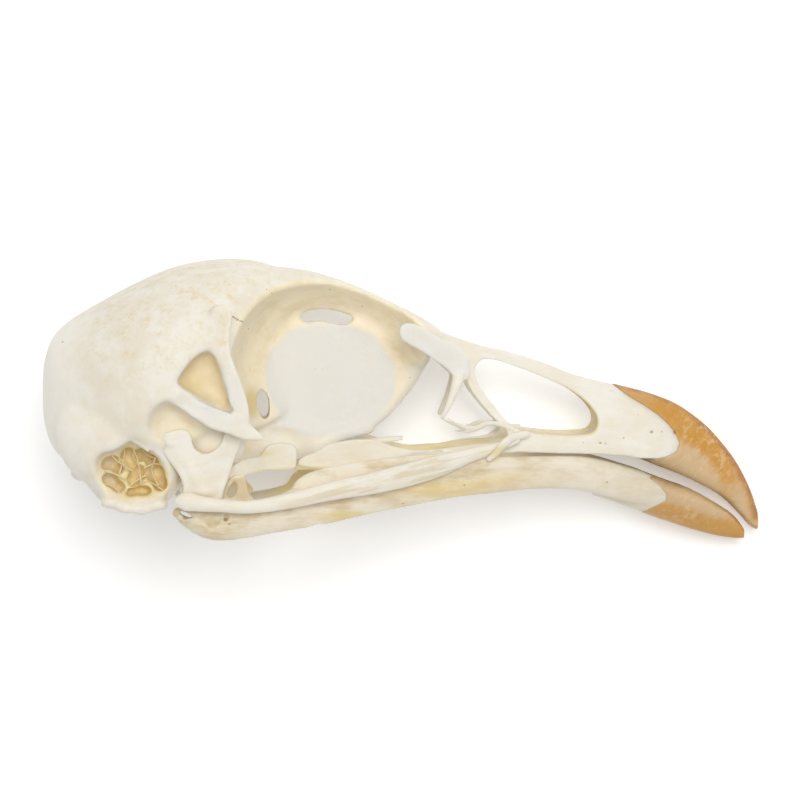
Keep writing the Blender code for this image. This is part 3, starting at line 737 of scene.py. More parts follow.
def make_pterygoid(name, side):
    form = bowed(plate(PTERYGOID_OUTLINE, thickness=0.9), ((13.5, 6), (15.1, 4.8), (16.6, 3.5), (19.1, 2.5)), side)
    return fused("pterygoid_bone_" + name, [form], smooth=4, rough=0.04)


PALATINE_OUTLINE = ((19.2, 6.1), (19.6, 6.5), (20.7, 6.95), (21.3, 7.4), (22.4, 7.7), (23.6, 7.85), (24.8, 7.85),
                    (25.6, 7.6), (26.4, 7.35), (28.3, 7.05), (31, 7.3), (33, 7.55), (36.9, 7.6), (37.2, 7.3),
                    (33, 6.95), (29, 6.2), (26, 5.8), (23, 5.6), (20.9, 5.65), (19.4, 5.85))


def make_palatine(name, side):
    form = bowed(plate(PALATINE_OUTLINE, thickness=0.5),
                 ((19.2, 1.9), (21.5, 2.4), (24.7, 2.9), (28, 3.2), (37.2, 3.2)), side)
    shelf = bar(((30, 3.2, 6.8, 0.3, 0.25), (34, 3.2, 7.25, 0.6, 0.3), (37.1, 3.1, 7.4, 0.8, 0.26)), side)
    strand = bar(((17.9, 1.45, 5.75, 0.15, 0.16), (19.5, 1.7, 5.7, 0.2, 0.2), (21.6, 2.4, 5.85, 0.22, 0.2),
                  (23.6, 2.75, 5.95, 0.15, 0.14)), side, sides=12)
    return fused("palatine_bone_" + name, [form], additions=[shelf, strand])


def make_vomer():
    form = bar(((22.6, 0, 7, 0.5, 0.3), (24.8, 0, 7.5, 0.35, 0.28), (27.2, 0, 7.8, 0.22, 0.17)), sides=16)
    return fused("vomer_bone", [form], smooth=1, rough=0)


LACRIMAL_OUTLINE = ((26.65, 16), (26.75, 15.6), (27.1, 15.25), (27.8, 14.85), (28.5, 14.45), (29.3, 13.9),
                    (30.1, 13.3), (30.7, 12.75), (31.4, 12.3), (31.9, 12.5), (32, 13.4), (31.8, 14.2), (31, 14.8),
                    (30, 15.4), (29, 15.95), (28, 16.5), (27.3, 16.65), (26.8, 16.45))
# How far the left spine stands from its mirrored place, in x and z.
LEFT_SPINE = (0.35, -0.3)


def make_lacrimal(name, side):
    """The small bone at the front of the orbit, a cap on the brow with a spine hanging from it."""
    cap = bowed(plate(LACRIMAL_OUTLINE, thickness=0.8), ((26.6, 5.3), (28.5, 5), (30, 4.5), (32, 3.9)), side)
    ahead, up = LEFT_SPINE if side > 0 else (0, 0)
    spine = bar([(x + ahead, y, z + up, wide, deep) for x, y, z, wide, deep in (
        (31.2, 4.3, 13, 0.4, 0.5), (31, 4.6, 12.2, 0.34, 0.42), (30.6, 4.9, 11.1, 0.28, 0.3),
        (30.2, 5.05, 10.2, 0.22, 0.24), (29.85, 5.1, 9.5, 0.16, 0.18))], side, up=AHEAD)
    return fused("lacrimal_bone_" + name, [cap, spine], blend=3)


# Lower jaw

# Each side of the lower jaw, from hinge to bill, as (x, z, half width, half height, share of the spread).
RAMUS = (
    (9.9, 2.9, 0.45, 0.25, 0.96),
    (10.9, 2.5, 0.6, 0.75, 0.98),
    (12.6, 2, 0.95, 1.2, 0.99),
    (14.5, 2.1, 0.7, 1.3, 1),
    (17.5, 2.65, 0.55, 1.35, 0.985),
    (19.2, 3.1, 0.5, 1.6, 0.96),
    (20.6, 3.8, 0.5, 2.05, 0.94),
    (24, 4.5, 0.5, 2, 0.86),
    (28, 5.05, 0.5, 1.85, 0.76),
    (30.6, 5.35, 0.47, 1.7, 0.7),
    (33.2, 5.3, 0.46, 1.42, 0.63),
    (37, 5.42, 0.55, 1.24, 0.53),
    (40.5, 5.28, 0.6, 1.28, 0.42),
    (43.5, 4.5, 0.8, 1.3, 0.26),
    (46, 3.8, 0.9, 1.2, 0.12),
)


def ramus(side):
    spread = half(sizes().jaw_spread)
    return bar([(x, spread * out, z - hang(x, side) / 2, wide, deep - hang(x, side) / 2)
                for x, z, wide, deep, out in RAMUS], side, power=2.3, sides=40)


# The front of the lower bill as (x, foot, top, half width low down, half width high up).
LOWER_BILL = (
    (41.6, 3.4, 6.2, 1.7, 2.25), (43.2, 2.9, 5.85, 1.55, 2.15), (45, 2.25, 5.45, 1.4, 2),
    (47, 1.55, 4.68, 1.2, 1.8), (49, 0.9, 3.95, 0.95, 1.5), (50.7, 0.42, 3, 0.7, 1.15),
    (52, 0.18, 2.15, 0.45, 0.8), (52.8, 0.12, 1.3, 0.25, 0.45), (53.2, 0.12, 0.7, 0.14, 0.24))
# The strut between jaw and quadrate, with its small window, as (x, z).
STRUT_OUTLINE = ((13, 3), (13.35, 4.2), (13.8, 5), (14.4, 5.5), (15.1, 5.45), (15.3, 4.8), (15.5, 4.1),
                 (16, 3.3), (14.5, 2.6))
STRUT_WINDOW = ((13.85, 3.9), (14, 4.6), (14.4, 5), (14.6, 4.7), (14.35, 4))


def make_mandible():
    scoop = bar(((40.6, 0, 6.6, 1.3, 0.9), (43.5, 0, 6, 1.5, 1), (48, 0, 4.6, 1.2, 0.9)), sides=32)
    cuts = [scoop, bone_end(LOWER_HORN_LINE)]
    guide = (0.05, 0.05)
    spread = half(sizes().jaw_spread)
    knobs, windows, grooves, keels = [], [], [], []
    for _, side in SIDES:
        grooves.append([(x, side * (y + 0.45), z + 0.15, *guide) for x, y, z in (
            (20.5, 7.6, 2.85), (24, 7.1, 3.4), (27.5, 6.4, 4.1), (30, 5.9, 4.6), (34.1, 5, 5.4))])
        keels.append([(x, side * (spread * out + 0.3), z - deep + 0.3, *guide) for x, z, _, deep, out in RAMUS[2:]])
        cuts.append(bar(((20.5, 7.95, 3.1, 0.35, 0.35), (23.7, 7.5, 3.6, 0.45, 0.45), (26.6, 6.95, 4.15, 0.45, 0.5),
                         (28.9, 6.5, 4.65, 0.45, 0.6), (31.9, 5.9, 5.15, 0.45, 0.55), (34.1, 5.4, 5.5, 0.4, 0.45),
                         (37.1, 4.85, 5.8, 0.3, 0.25)), side, sides=20))
        cuts.append(egg((10.8, side * 7.6, 2.65), (0.6, 2, 0.16), turn=(0, 25, 0), segments=20))
        cuts.append(dish(((11.2, 2.75), (12.1, 2.1), (12.75, 1.6), (13.4, 2.2), (13.7, 2.75), (12.4, 3)), side,
                         ((10, 1.1), (8.5, 1), (8.3, 0.8), (8.2, 0.4))))
        for x, y, z, wide, high in JAW_PITS:
            cuts.append(egg((x, side * y, z), (wide, 0.5, high), segments=16))
        knobs.append(plate(STRUT_OUTLINE, side * 6.85, 0.7))
        windows.append(plate(STRUT_WINDOW, side * 6.85, 1.5))
    return fused("mandible_bone", [ramus(-1), ramus(1), arch(LOWER_BILL[:6])], cuts, knobs, windows,
                 grain=sizes().fine_grain / MM * 1.2, smooth=4, rough=0.04,
                 lines={"groove": (grooves, 0.35), "keel": (keels, 0.7)})


def make_lower_horn():
    """The horn of the lower bill, a shallow scoop with a blunt tip."""
    return make_horn("lower_bill_horn", LOWER_BILL,
                     ((42, 0, 6.4, 1.4, 0.9), (45, 0, 5.7, 1.4, 0.9), (48.5, 0, 4.5, 1.1, 0.8),
                      (51, 0, 3.1, 0.7, 0.5), (52.3, 0, 1.9, 0.3, 0.25)),
                     LOWER_HORN_LINE, [(x, foot) for x, foot, _, _, _ in LOWER_BILL],
                     [(x, high, top) for x, _, top, _, high in LOWER_BILL], (2.5, 1))


# The web of thin struts inside each ear, from (x, z) to (x, z) with a bend of (x, z) between.
EAR_STRUTS = (
    ((4.5, 7), (5.7, 7.05), (6.5, 5.9)), ((6.3, 8), (6.25, 6.9), (5.9, 5.7)), ((6.7, 8.1), (7.25, 6.7), (7.5, 5.1)),
    ((9.5, 6), (8.6, 6.4), (7.7, 6.1)), ((4.25, 5.9), (5.3, 5.75), (6.4, 5.3)), ((9.2, 4.4), (8.2, 5), (7.4, 5)),
    ((8.6, 6.9), (8.3, 5.9), (8.8, 4.8)), ((5, 7.4), (5.9, 6.5), (6.9, 5.9)), ((7.2, 8.1), (7.9, 7.1), (9.1, 6.6)),
    ((6.2, 3.9), (6.7, 4.8), (7.9, 5.6)), ((4.4, 4.9), (5.3, 4.8), (6.1, 4.1)),
)
WEB_SEED = 7


def make_ear_web(name, side):
    """Thin struts that cross the ear's cells from wall to wall, joined in one mesh."""
    draw = random.Random(WEB_SEED)
    struts = []
    for start, middle, end in EAR_STRUTS:
        thick = draw.uniform(0.025, 0.04)
        depth = draw.uniform(7.5, 7.8)
        ends = [(x, depth + 0.1, z, thick * 3, thick * 2.2) for x, z in (start, end)]
        bend = (middle[0], depth - draw.uniform(0.1, 0.35), middle[1], thick, thick * 1.6)
        struts.append(bar((ends[0], bend, ends[1]), side, sides=10, steps=6))
    deselect()
    for strut in struts:
        strut.select_set(True)
    bpy.context.view_layer.objects.active = struts[0]
    bpy.ops.object.join()
    web = bpy.context.object
    web.name = "ear_web_" + name
    return web


# Materials

class Flow:
    """A shader socket that can stand in a sum."""

    def __init__(self, paint, socket):
        self.paint = paint
        self.socket = socket

    def worked(self, operation, *values):
        return self.paint.node("ShaderNodeMath", {"operation": operation}, dict(enumerate(values)))

    def __add__(self, other):
        return self.worked("ADD", self, other)

    __radd__ = __add__

    def __mul__(self, other):
        return self.worked("MULTIPLY", self, other)

    __rmul__ = __mul__

    def __sub__(self, other):
        return self.worked("SUBTRACT", self, other)

    def __rsub__(self, other):
        return self.worked("SUBTRACT", other, self)

    def __abs__(self):
        return self.worked("ABSOLUTE", self)


class Paint:
    """A new material on the skull's own coordinates, its tint so far, and the few tools that its recipe needs."""

    def __init__(self, name):
        self.material = bpy.data.materials.new(name)
        self.material.use_nodes = True
        self.tree = self.material.node_tree
        self.shader = self.tree.nodes["Principled BSDF"]
        self.place = None
        self.tint = None

    def node(self, kind, settings=None, values=None, output=0):
        """Adds a node, sets it, feeds its sockets with values or flows, and gives one output."""
        made = self.tree.nodes.new(kind)
        for key, value in (settings or {}).items():
            setattr(made, key, value)
        for key, value in (values or {}).items():
            self.feed(made.inputs[key], value)
        return Flow(self, made.outputs[output])

    def feed(self, socket, value):
        if isinstance(value, Flow):
            self.tree.links.new(value.socket, socket)
        elif socket.type == "RGBA":
            socket.default_value = (*tuple(value)[:3], 1)
        else:
            socket.default_value = value

    def step(self, value, low, high):
        """0 below low and 1 above high, with a soft step between."""
        return self.node("ShaderNodeMapRange", {"interpolation_type": "SMOOTHSTEP"},
                         {"Value": value, "From Min": low, "From Max": high})

    def ranged(self, value, low, high):
        return self.node("ShaderNodeMapRange", values={"Value": value, "To Min": low, "To Max": high})

    def mix(self, share, below, above):
        return self.node("ShaderNodeMix", {"data_type": "RGBA"}, {0: share, 6: below, 7: above}, output=2)

    def lay(self, share, colour):
        """Paints one of the skull's colours over the tint, as strongly as share says."""
        self.tint = self.mix(share, self.tint, getattr(colours(), colour))

    def use_skull_place(self):
        """Object coordinates turned back into the skull's own frame, in millimetres."""
        back = LIE.to_3x3().inverted()
        self.place = self.node("ShaderNodeMapping", values={
            "Vector": self.node("ShaderNodeTexCoord", output="Object"), "Scale": (1 / MM,) * 3,
            "Rotation": back.to_euler(), "Location": -(back @ SKULL_AT)})

    def along(self, axis):
        return self.node("ShaderNodeSeparateXYZ", values={"Vector": self.place}, output=axis)

    def vector(self, operation, first, *second, output=0):
        return self.node("ShaderNodeVectorMath", {"operation": operation}, dict(enumerate((first, *second))), output)

    def stretched(self, place, scale):
        return self.vector("MULTIPLY", place, scale)

    def sloped(self, degrees):
        """The place turned about Y, for streaks that climb."""
        return self.node("ShaderNodeMapping", values={"Vector": self.place, "Rotation": (0, math.radians(degrees), 0)})

    def noise(self, place, scale, detail, roughness=0.55):
        return self.node("ShaderNodeTexNoise", values={"Vector": place, "Scale": scale, "Detail": detail,
                                                       "Roughness": roughness})

    def patch(self, centre, radii, soft):
        """1 inside an ellipsoid and 0 outside it."""
        shrunk = self.vector("DIVIDE", self.vector("SUBTRACT", self.place, centre), radii)
        return 1 - self.step(self.vector("LENGTH", shrunk, output="Value"), 1 - soft, 1 + soft)

    def clamped(self, value):
        return self.node("ShaderNodeClamp", values={"Value": value})

    def attribute(self, name):
        return self.node("ShaderNodeAttribute", {"attribute_name": name}, output="Fac")

    def specks(self, specks, strength):
        """Paints dark specks of (x, z, radius) on the right side."""
        for x, z, radius in specks:
            self.lay(self.patch((x, -8, z), (radius, 8.2, radius * 0.7), 0.4) * strength, "speck")

    def finish(self, height, depth, roughness):
        """Links tint, bump and roughness to the shader."""
        bump = self.node("ShaderNodeBump", values={"Height": height, "Distance": depth, "Strength": 1})
        for key, value in (("Base Color", self.tint), ("Normal", bump), ("Roughness", roughness)):
            self.feed(self.shader.inputs[key], value)
        return self.material

    def glow_through(self, weight, radius):
        """Light that soaks in and comes out again nearby, as in thin bone and horn."""
        for key, value in (("Weight", weight), ("Radius", radius), ("Scale", MM)):
            self.shader.inputs["Subsurface " + key].default_value = value


# Dark specks on the right side of the cranium as (x, z, radius).
SPECKS = ((14.3, 17.25, 0.1), (14.45, 17.15, 0.08), (14.6, 17.05, 0.1), (14.8, 16.95, 0.07), (14.95, 16.9, 0.08),
          (1.7, 15.3, 0.07), (10.8, 21.3, 0.06), (21.6, 19.1, 0.06), (24.1, 17.8, 0.08), (16.8, 19.2, 0.05),
          (15.5, 16.2, 0.05), (20.6, 13.1, 0.05), (21.1, 13.05, 0.05), (27.7, 12.4, 0.08), (17.2, 18.9, 0.05))
# The same on the jaw and on the bill, most of them where small pits are pressed in.
JAW_SPECKS = ((13.7, 2.3, 0.16), (10.75, 2.45, 0.22), (14, 2, 0.1), (42.4, 4.6, 0.1), (31.5, 4.6, 0.08),
              (26.9, 3.3, 0.07))
BILL_SPECKS = ((45.9, 8.3, 0.16), (46.7, 8.3, 0.08), (47.8, 8.22, 0.15), (43.7, 7.9, 0.09), (41.9, 7.55, 0.12),
               (42.3, 7.5, 0.08), (42.9, 11.35, 0.07), (44.9, 9.6, 0.06), (40.6, 7.6, 0.06))


def bill_stains_and_shade(p, cloudy):
    """The tan rim inside the nostril's front, painted shade on the splinter below it, and the pits of the bill."""
    p.lay(p.step(p.attribute("nostril"), 0.2, 0.9) * p.step(p.along("X") + cloudy * 3, 37, 43) * 0.75, "ochre")
    # Painted shade: ochre on the hooked splinter, in the shaded hollow below the nostril.
    p.lay(p.patch((34.2, -5.7, 7.1), (1.3, 0.8, 0.45), 0.6) * 0.7, "ochre")
    p.specks(BILL_SPECKS, 0.65)


# The grain of bone without streaks, as long as it is wide.
EVEN_GRAIN = (1, 1, 1)


def bone_paint(name, grain, pale, warm, stained_and_shaded=0.5, special=None):
    """Dry bone. grain stretches its fine streaks, stained_and_shaded is how much tan lies in its streaks and, as
    painted shade, in its crevices and hollows.
    """
    p = Paint(name)
    p.use_skull_place()
    broad = p.noise(p.place, 0.33, 3)
    cloudy = p.noise(p.place, 1.2, 6, 0.62)
    fine = p.noise(p.stretched(p.place, grain), 2.6, 6, 0.6)
    pores = p.node("ShaderNodeTexVoronoi", {"feature": "F1"}, {"Vector": p.place, "Scale": 3.6}, output="Distance")
    pits = (1 - p.step(pores, 0.05, 0.16)) * p.step(cloudy, 0.5, 0.64)
    unoccluded_light = p.node("ShaderNodeAmbientOcclusion", {"samples": 8}, {"Distance": 1.3 * MM}, output="AO")
    drift = p.noise(p.stretched(p.place, [(part + 0.4) / 1.4 for part in grain]), 0.75, 5, 0.6)
    p.tint = p.mix(p.step(broad * 0.45 + drift * 0.55 + (fine - 0.5) * 0.4, 0.38, 0.62), getattr(colours(), warm),
                   getattr(colours(), pale))
    p.lay(p.step(fine, 0.45, 0.75) * (0.15 + 0.4 * stained_and_shaded), "tan")
    # Painted shade: tan and ochre where ambient occlusion finds crevices, hollows and the joints between bones.
    p.lay(p.step(1 - unoccluded_light + cloudy * 0.2, 0.32, 0.85) * (0.3 + 0.5 * stained_and_shaded), "tan")
    p.lay(p.step(1 - unoccluded_light, 0.6, 0.95) * 0.3, "ochre")
    if special:
        special(p, cloudy)
    p.glow_through(0.3, (1.3, 0.95, 0.65))
    return p.finish(fine * 0.45 + cloudy * 0.4 - pits * 0.5, 0.045 * MM, p.ranged(cloudy, 0.5, 0.66))


def jaw_stains_and_painted_light(p, cloudy):
    """Painted shade in tan along the groove of the lower jaw, under the jugal bar and towards its hinge, paler towards
    the bill, and painted light that makes the shaded left side paler and lays a pale band along the lower edge.
    """
    streaky = p.noise(p.stretched(p.place, (0.14, 1, 1.5)), 1.6, 5, 0.6)
    forward = p.along("X")
    p.lay(p.step(forward + cloudy * 4, 34, 44) * 0.5, "ivory")
    # Painted light: the shaded left side and the top of the left jaw made paler and amber.
    p.lay(p.step(p.along("Y"), 1, 3) * (1 - p.step(forward, 30, 36)) * 0.9, "ivory")
    p.lay(p.patch((17.2, 7, 4.4), (4, 2, 1.3), 0.3) * 0.85, "amber")
    # Painted highlight: a pale band along the jaw's lower edge.
    p.lay(p.step(p.attribute("keel") + (streaky - 0.5) * 0.5, 0.25, 0.8) * 0.4, "ivory")
    # Painted shade: ochre along the groove and under the jugal bar, broken into streaks.
    p.lay(p.step(p.attribute("groove") + (streaky - 0.5) * 0.8, 0.1, 0.8) * 0.6, "ochre")
    for at, reach, share in (((22.4, -7, 2.45), (1.9, 3, 0.35), 0.85), ((29.6, -6, 4.25), (3.4, 3, 0.55), 0.75),
                             ((33.5, -5, 4.9), (3.2, 3, 0.6), 0.5), ((13, -7.5, 1.5), (2.2, 3, 0.8), 0.1)):
        p.lay(p.patch(at, reach, 0.7) * p.step(streaky, 0.25, 0.55) * share, "ochre")
    p.specks(JAW_SPECKS, 0.6)


def palate_stains_and_shade(p, cloudy):
    """Streaks along the jugal bars, and painted shade in tan on the lower edges and shaded parts of the palate's
    bones.
    """
    streaky = p.noise(p.stretched(p.sloped(12), (0.08, 0.6, 2)), 1.6, 4, 0.6)
    aside, height = abs(p.along("Y")), p.along("Z")
    cheek = p.step(aside, 4.6, 5.2) * (1 - p.step(height, 8.4, 8.9)) * p.step(p.along("X"), 16, 22)
    p.lay(cheek * p.step(streaky, 0.48, 0.62) * 0.55, "buff")
    p.lay(p.step(height, 12.4, 13.4) * 0.6, "cool")
    # Painted shade: ochre on the lower edges and shaded parts of the palate's bones.
    for at, reach in (((19.3, 0, 5.55), (5, 5, 0.3)), ((30.5, 3.2, 7.2), (6, 1.2, 0.9)),
                      ((16.2, 0, 6.9), (1.1, 6, 0.3))):
        p.lay(p.patch(at, reach, 0.5) * (0.4 + 0.5 * cloudy), "ochre")


def cranium_stains_and_painted_light(p, cloudy):
    """The mottled crown, the tan of the eye and muscle hollows, partly stain and partly painted shade, painted light
    on the back of the braincase and in the shaded notch behind the quadrate, the pale septum, the amber ear with
    painted shade in its bowl and deep in its cells, and the specks.
    """
    height, forward, aside = p.along("Z"), p.along("X"), abs(p.along("Y"))
    wavering = p.noise(p.place, 0.8, 3) * 0.5 - 0.25
    # The crown's mottling.
    crown = p.patch((9.5, 0, 17.5), (10.5, 14, 5.6), 0.6)
    blots = p.step(cloudy, 0.42, 0.7) * p.step(p.noise(p.place, 4.2, 5, 0.6), 0.34, 0.68)
    p.lay(blots * (crown * 0.75 + 0.1), "ochre")
    # The hollow of the eye, partly stain and partly painted shade, strongest towards its top, back and front.
    eye = p.step(p.attribute("eye_hollow") + wavering * 0.3, 0.1, 0.7) * (1 - p.step(aside, 8.5, 9.2))
    upper = p.step(height + wavering * 2, 8.5, 14)
    rear = 1 - p.step(forward + wavering * 2, 15.5, 21)
    front = p.step(forward + wavering * 2, 24.5, 27.5)
    p.lay(eye * (0.2 + 0.8 * p.clamped(upper * 0.75 + rear * 0.3 + front * 0.5)), "shell")
    drawn = p.noise(p.stretched(p.place, (0.5, 1, 0.9)), 1.1, 6, 0.65)
    p.lay(eye * upper * p.step(drawn, 0.42, 0.68) * 0.5, "tan")
    # The thin sheet of the septum.
    streaky = p.noise(p.stretched(p.place, (1, 1, 0.6)), 1, 4)
    window = p.step(p.patch((21.4, 0, 12.1), (5.5, 1.8, 4.65), 0.25) + (streaky - 0.5) * 0.5, 0.3, 0.7)
    p.lay(window * (0.8 + 0.2 * streaky), "cool")
    p.lay(window * p.step(cloudy, 0.5, 0.75) * 0.3, "ivory")
    veins = p.patch((23.4, 0, 10.6), (2.2, 1.6, 1.8), 0.6) * p.step(p.noise(p.place, 2.4, 5, 0.7), 0.52, 0.64)
    p.lay(veins * 0.5, "chalk")
    p.lay(p.patch((15.7, 0, 10.6), (0.6, 9, 1.1), 0.5) * eye * 0.8, "ochre")
    # The hollows of the jaw's muscles, partly stain and partly painted shade that is strongest in their upper parts,
    # and the pale blades beside them.
    muscle = p.step(p.attribute("muscle_hollow"), 0.1, 0.7) * (1 - p.step(aside, 9.2, 9.9))
    p.lay(muscle * 0.85, "shell")
    p.lay(muscle * (p.step(height, 10.2, 11.2) * 0.6 + p.step(cloudy, 0.36, 0.66) * 0.3), "tan")
    # Painted light: shell lifts the shaded notch behind the quadrate, under the braincase's overhang.
    p.lay(p.patch((13, 0, 7.6), (3, 8.4, 2), 0.3) * 0.7, "shell")
    p.lay(p.patch((13, 0, 11.2), (3.4, 12, 3.4), 0.4) * p.step(aside, 9, 9.6) * 0.85, "cool")
    p.lay(p.patch((11.2, 0, 12.3), (1.3, 9.7, 0.7), 0.7) * muscle * 0.6, "ochre")
    p.lay(p.patch((13.8, 0, 10.9), (0.6, 9.7, 0.5), 0.6) * muscle * 0.8, "ochre")
    # The ear and its cells: the bowl partly stain and partly painted shade, amber stain in the cells, and painted
    # shade deep in them.
    bowl = p.step(p.attribute("ear_hollow"), 0.2, 0.85) * (1 - p.step(aside, 8.1, 8.7))
    p.lay(bowl * 0.9, "shell")
    p.lay(bowl * p.step(cloudy, 0.35, 0.65) * 0.5, "tan")
    cell = p.step(p.attribute("ear_cell"), 0.1, 0.7) * (p.step(forward + wavering * 1.5, 5, 6.4) * 0.6 + 0.4)
    p.lay(cell * (p.step(cloudy, 0.3, 0.6) * 0.35 + 0.6), "amber")
    # Painted shade: dark horn deep in the cells.
    deep = p.step(EAR_MIDDLE - aside + wavering * 0.4, 0.05, 0.6)
    p.lay(cell * deep * p.step(wavering, -0.05, 0.06) * 0.35, "horn")
    # Painted light: the back of the braincase made palest, where the lamp reaches less.
    p.lay((1 - p.step(forward + wavering * 2, 0.5, 5)) * 0.7, "painted_rear_light")
    p.specks(SPECKS, 0.75)


def horn_paint(name, amber_at, flakes_at, flakes_reach, dark_at, dirt_at, amber_share, ridge_shade_share, tip_from):
    """Horn: amber along the ridge with painted shade on its crest, beige towards the cutting rim, with pale flakes, a
    dark line and old scratches.
    """
    p = Paint(name)
    p.use_skull_place()
    sloping = p.sloped(38)
    streaks = p.noise(p.stretched(sloping, (0.3, 1, 1.5)), 1.5, 6, 0.65)
    scratches = p.noise(p.stretched(sloping, (0.16, 0.6, 2.2)), 3.2, 5, 0.7)
    chips = p.noise(p.stretched(sloping, (0.5, 0.8, 1.3)), 2.2, 6, 0.7)
    cloudy = p.noise(p.place, 0.8, 4)
    mottled = p.noise(p.place, 2.4, 5, 0.6)
    ridge, rim = p.attribute("ridge"), p.attribute("rim")
    tip = p.step(p.along("X"), tip_from, tip_from + 2)
    fore = p.step(p.along("X") + (mottled - 0.5) * 2, 44.2, 47.4) * 0.35 + 0.65
    amber = p.patch(amber_at, (3.6, 4, 2.6), 0.7) * 0.22
    banded = p.step(ridge + amber - tip * 0.4 + (streaks - 0.5) * 0.6 + (mottled - 0.5) * 0.3, 0.26, 0.54)
    p.tint = p.mix(banded * fore * amber_share, colours().horn_pale, colours().horn)
    p.lay(p.step(mottled + tip * 0.2, 0.46, 0.7) * 0.3, "horn_pale")
    # Painted shade: a darker line along the crest of the ridge.
    p.lay(p.step(ridge + (cloudy - 0.5) * 0.3, 0.76, 0.96) * ridge_shade_share, "horn_dark")
    flakes = p.patch(flakes_at, flakes_reach, 0.5)
    p.lay(flakes * p.step(scratches, 0.5, 0.72) * 0.4, "horn_flake")
    p.lay(flakes * p.step(chips, 0.52, 0.6) * 0.65, "horn_flake")
    p.lay(p.step(streaks, 0.55, 0.72) * 0.25, "horn_flake")
    p.lay(p.step(rim + (scratches - 0.5) * 0.4, 0.82, 0.98) * 0.4, "horn_dark")
    p.lay(p.patch(dirt_at, (2.4, 3, 0.7), 0.7) * p.step(streaks, 0.4, 0.6) * 0.3, "speck")
    p.lay(p.patch(dark_at, (0.75, 3, 0.18), 0.6) * p.step(cloudy, 0.3, 0.55) * 0.22, "speck")
    p.glow_through(0.25, (1.2, 0.6, 0.25))
    return p.finish(streaks * 0.5 + scratches * 0.5 + chips * flakes * 0.6, 0.05 * MM, p.ranged(scratches, 0.3, 0.55))


# Operators

class SKULL_OT_cranium(bpy.types.Operator):
    """Models the braincase, brow, septum and processes as one bone, with the struts in its ears"""
    bl_idname = "skull.cranium"
    bl_label = "Cranium"
    bl_options = {"REGISTER", "UNDO"}

    def execute(self, context):
        show(make_cranium(), ("cranium",),
             bone_paint("cranium bone", EVEN_GRAIN, "chalk", "ivory", stained_and_shaded=0.15, special=cranium_stains_and_painted_light))
        strut_paint = bone_paint("strut bone", EVEN_GRAIN, "tan", "amber", stained_and_shaded=0.3)
        for name, side in SIDES:
            show(make_ear_web(name, side), (), strut_paint)
        return {"FINISHED"}


class SKULL_OT_upper_bill(bpy.types.Operator):
    """Models the bone of the upper bill round the nostrils and the horn at its front"""
    bl_idname = "skull.upper_bill"
    bl_label = "Upper bill"
    bl_options = {"REGISTER", "UNDO"}

    def execute(self, context):
        show(make_upper_bill(), ("upper_bill",),
             bone_paint("bill bone", (0.35, 1, 1.2), "chalk", "ivory", stained_and_shaded=0.15, special=bill_stains_and_shade))
        show(make_upper_horn(), ("upper_horn",),
             horn_paint("upper horn", amber_at=(47.4, 0, 9.4), flakes_at=(49.6, 0, 6.6), flakes_reach=(2.8, 3, 3),
                        dark_at=(52, 0, 2.9), dirt_at=(46.6, 0, 6.2), amber_share=1, ridge_shade_share=0.85, tip_from=51.2))
        return {"FINISHED"}


class SKULL_OT_cheek_and_palate(bpy.types.Operator):
    """Models the jugal bars, quadrates, pterygoids, palatines, lacrimals and vomer"""
    bl_idname = "skull.cheek_and_palate"
    bl_label = "Cheek and palate"
    bl_options = {"REGISTER", "UNDO"}

    def execute(self, context):
        paint = bone_paint("slender bone", (0.25, 1, 1.3), "chalk", "ivory", stained_and_shaded=0.2, special=palate_stains_and_shade)
        for kind, make in (("jugal", make_jugal), ("quadrate", make_quadrate), ("pterygoid", make_pterygoid),
                           ("palatine", make_palatine), ("lacrimal", make_lacrimal)):
            for name, side in SIDES:
                show(make(name, side), (kind + "_" + name,), paint)
        show(make_vomer(), ("vomer",), paint)
        return {"FINISHED"}


class SKULL_OT_lower_jaw(bpy.types.Operator):
    """Models the bone of the lower jaw and the horn at its front"""
    bl_idname = "skull.lower_jaw"
    bl_label = "Lower jaw"
    bl_options = {"REGISTER", "UNDO"}

    def execute(self, context):
        show(make_mandible(), ("mandible",),
             bone_paint("jaw bone", (0.2, 1, 1.2), "ivory", "buff", special=jaw_stains_and_painted_light))
        show(make_lower_horn(), ("lower_horn",),
             horn_paint("lower horn", amber_at=(46.6, 0, 1.9), flakes_at=(49.2, 0, 2.6), flakes_reach=(2.6, 3, 1.2),
                        dark_at=(48.6, 0, 4.2), dirt_at=(46, 0, 4.6), amber_share=0.75, ridge_shade_share=0.25,
                        tip_from=53))
        return {"FINISHED"}


class SKULL_OT_stage(bpy.types.Operator):
    """Sets the table, the soft light and the camera"""
    bl_idname = "skull.stage"
    bl_label = "Stage"
    bl_options = {"REGISTER", "UNDO"}

    def execute(self, context):
        make_floor()
        make_light()
        make_camera()
        return {"FINISHED"}


def make_floor():
    stage = bpy.context.scene.skull_stage
    deselect()
    bpy.ops.mesh.primitive_plane_add(size=stage.floor_size)
    floor = bpy.context.object
    floor.name = "table"
    p = Paint("table top")
    speckle = p.noise(p.node("ShaderNodeTexCoord", output="Object"), 900, 3)
    p.tint = p.mix(speckle * 0.04, colours().floor, (0.9, 0.9, 0.9))
    p.shader.inputs["Emission Color"].default_value = (1, 1, 1, 1)
    p.shader.inputs["Emission Strength"].default_value = stage.table_glow
    floor.data.materials.append(p.finish(speckle, 0.002 * MM, 0.7))


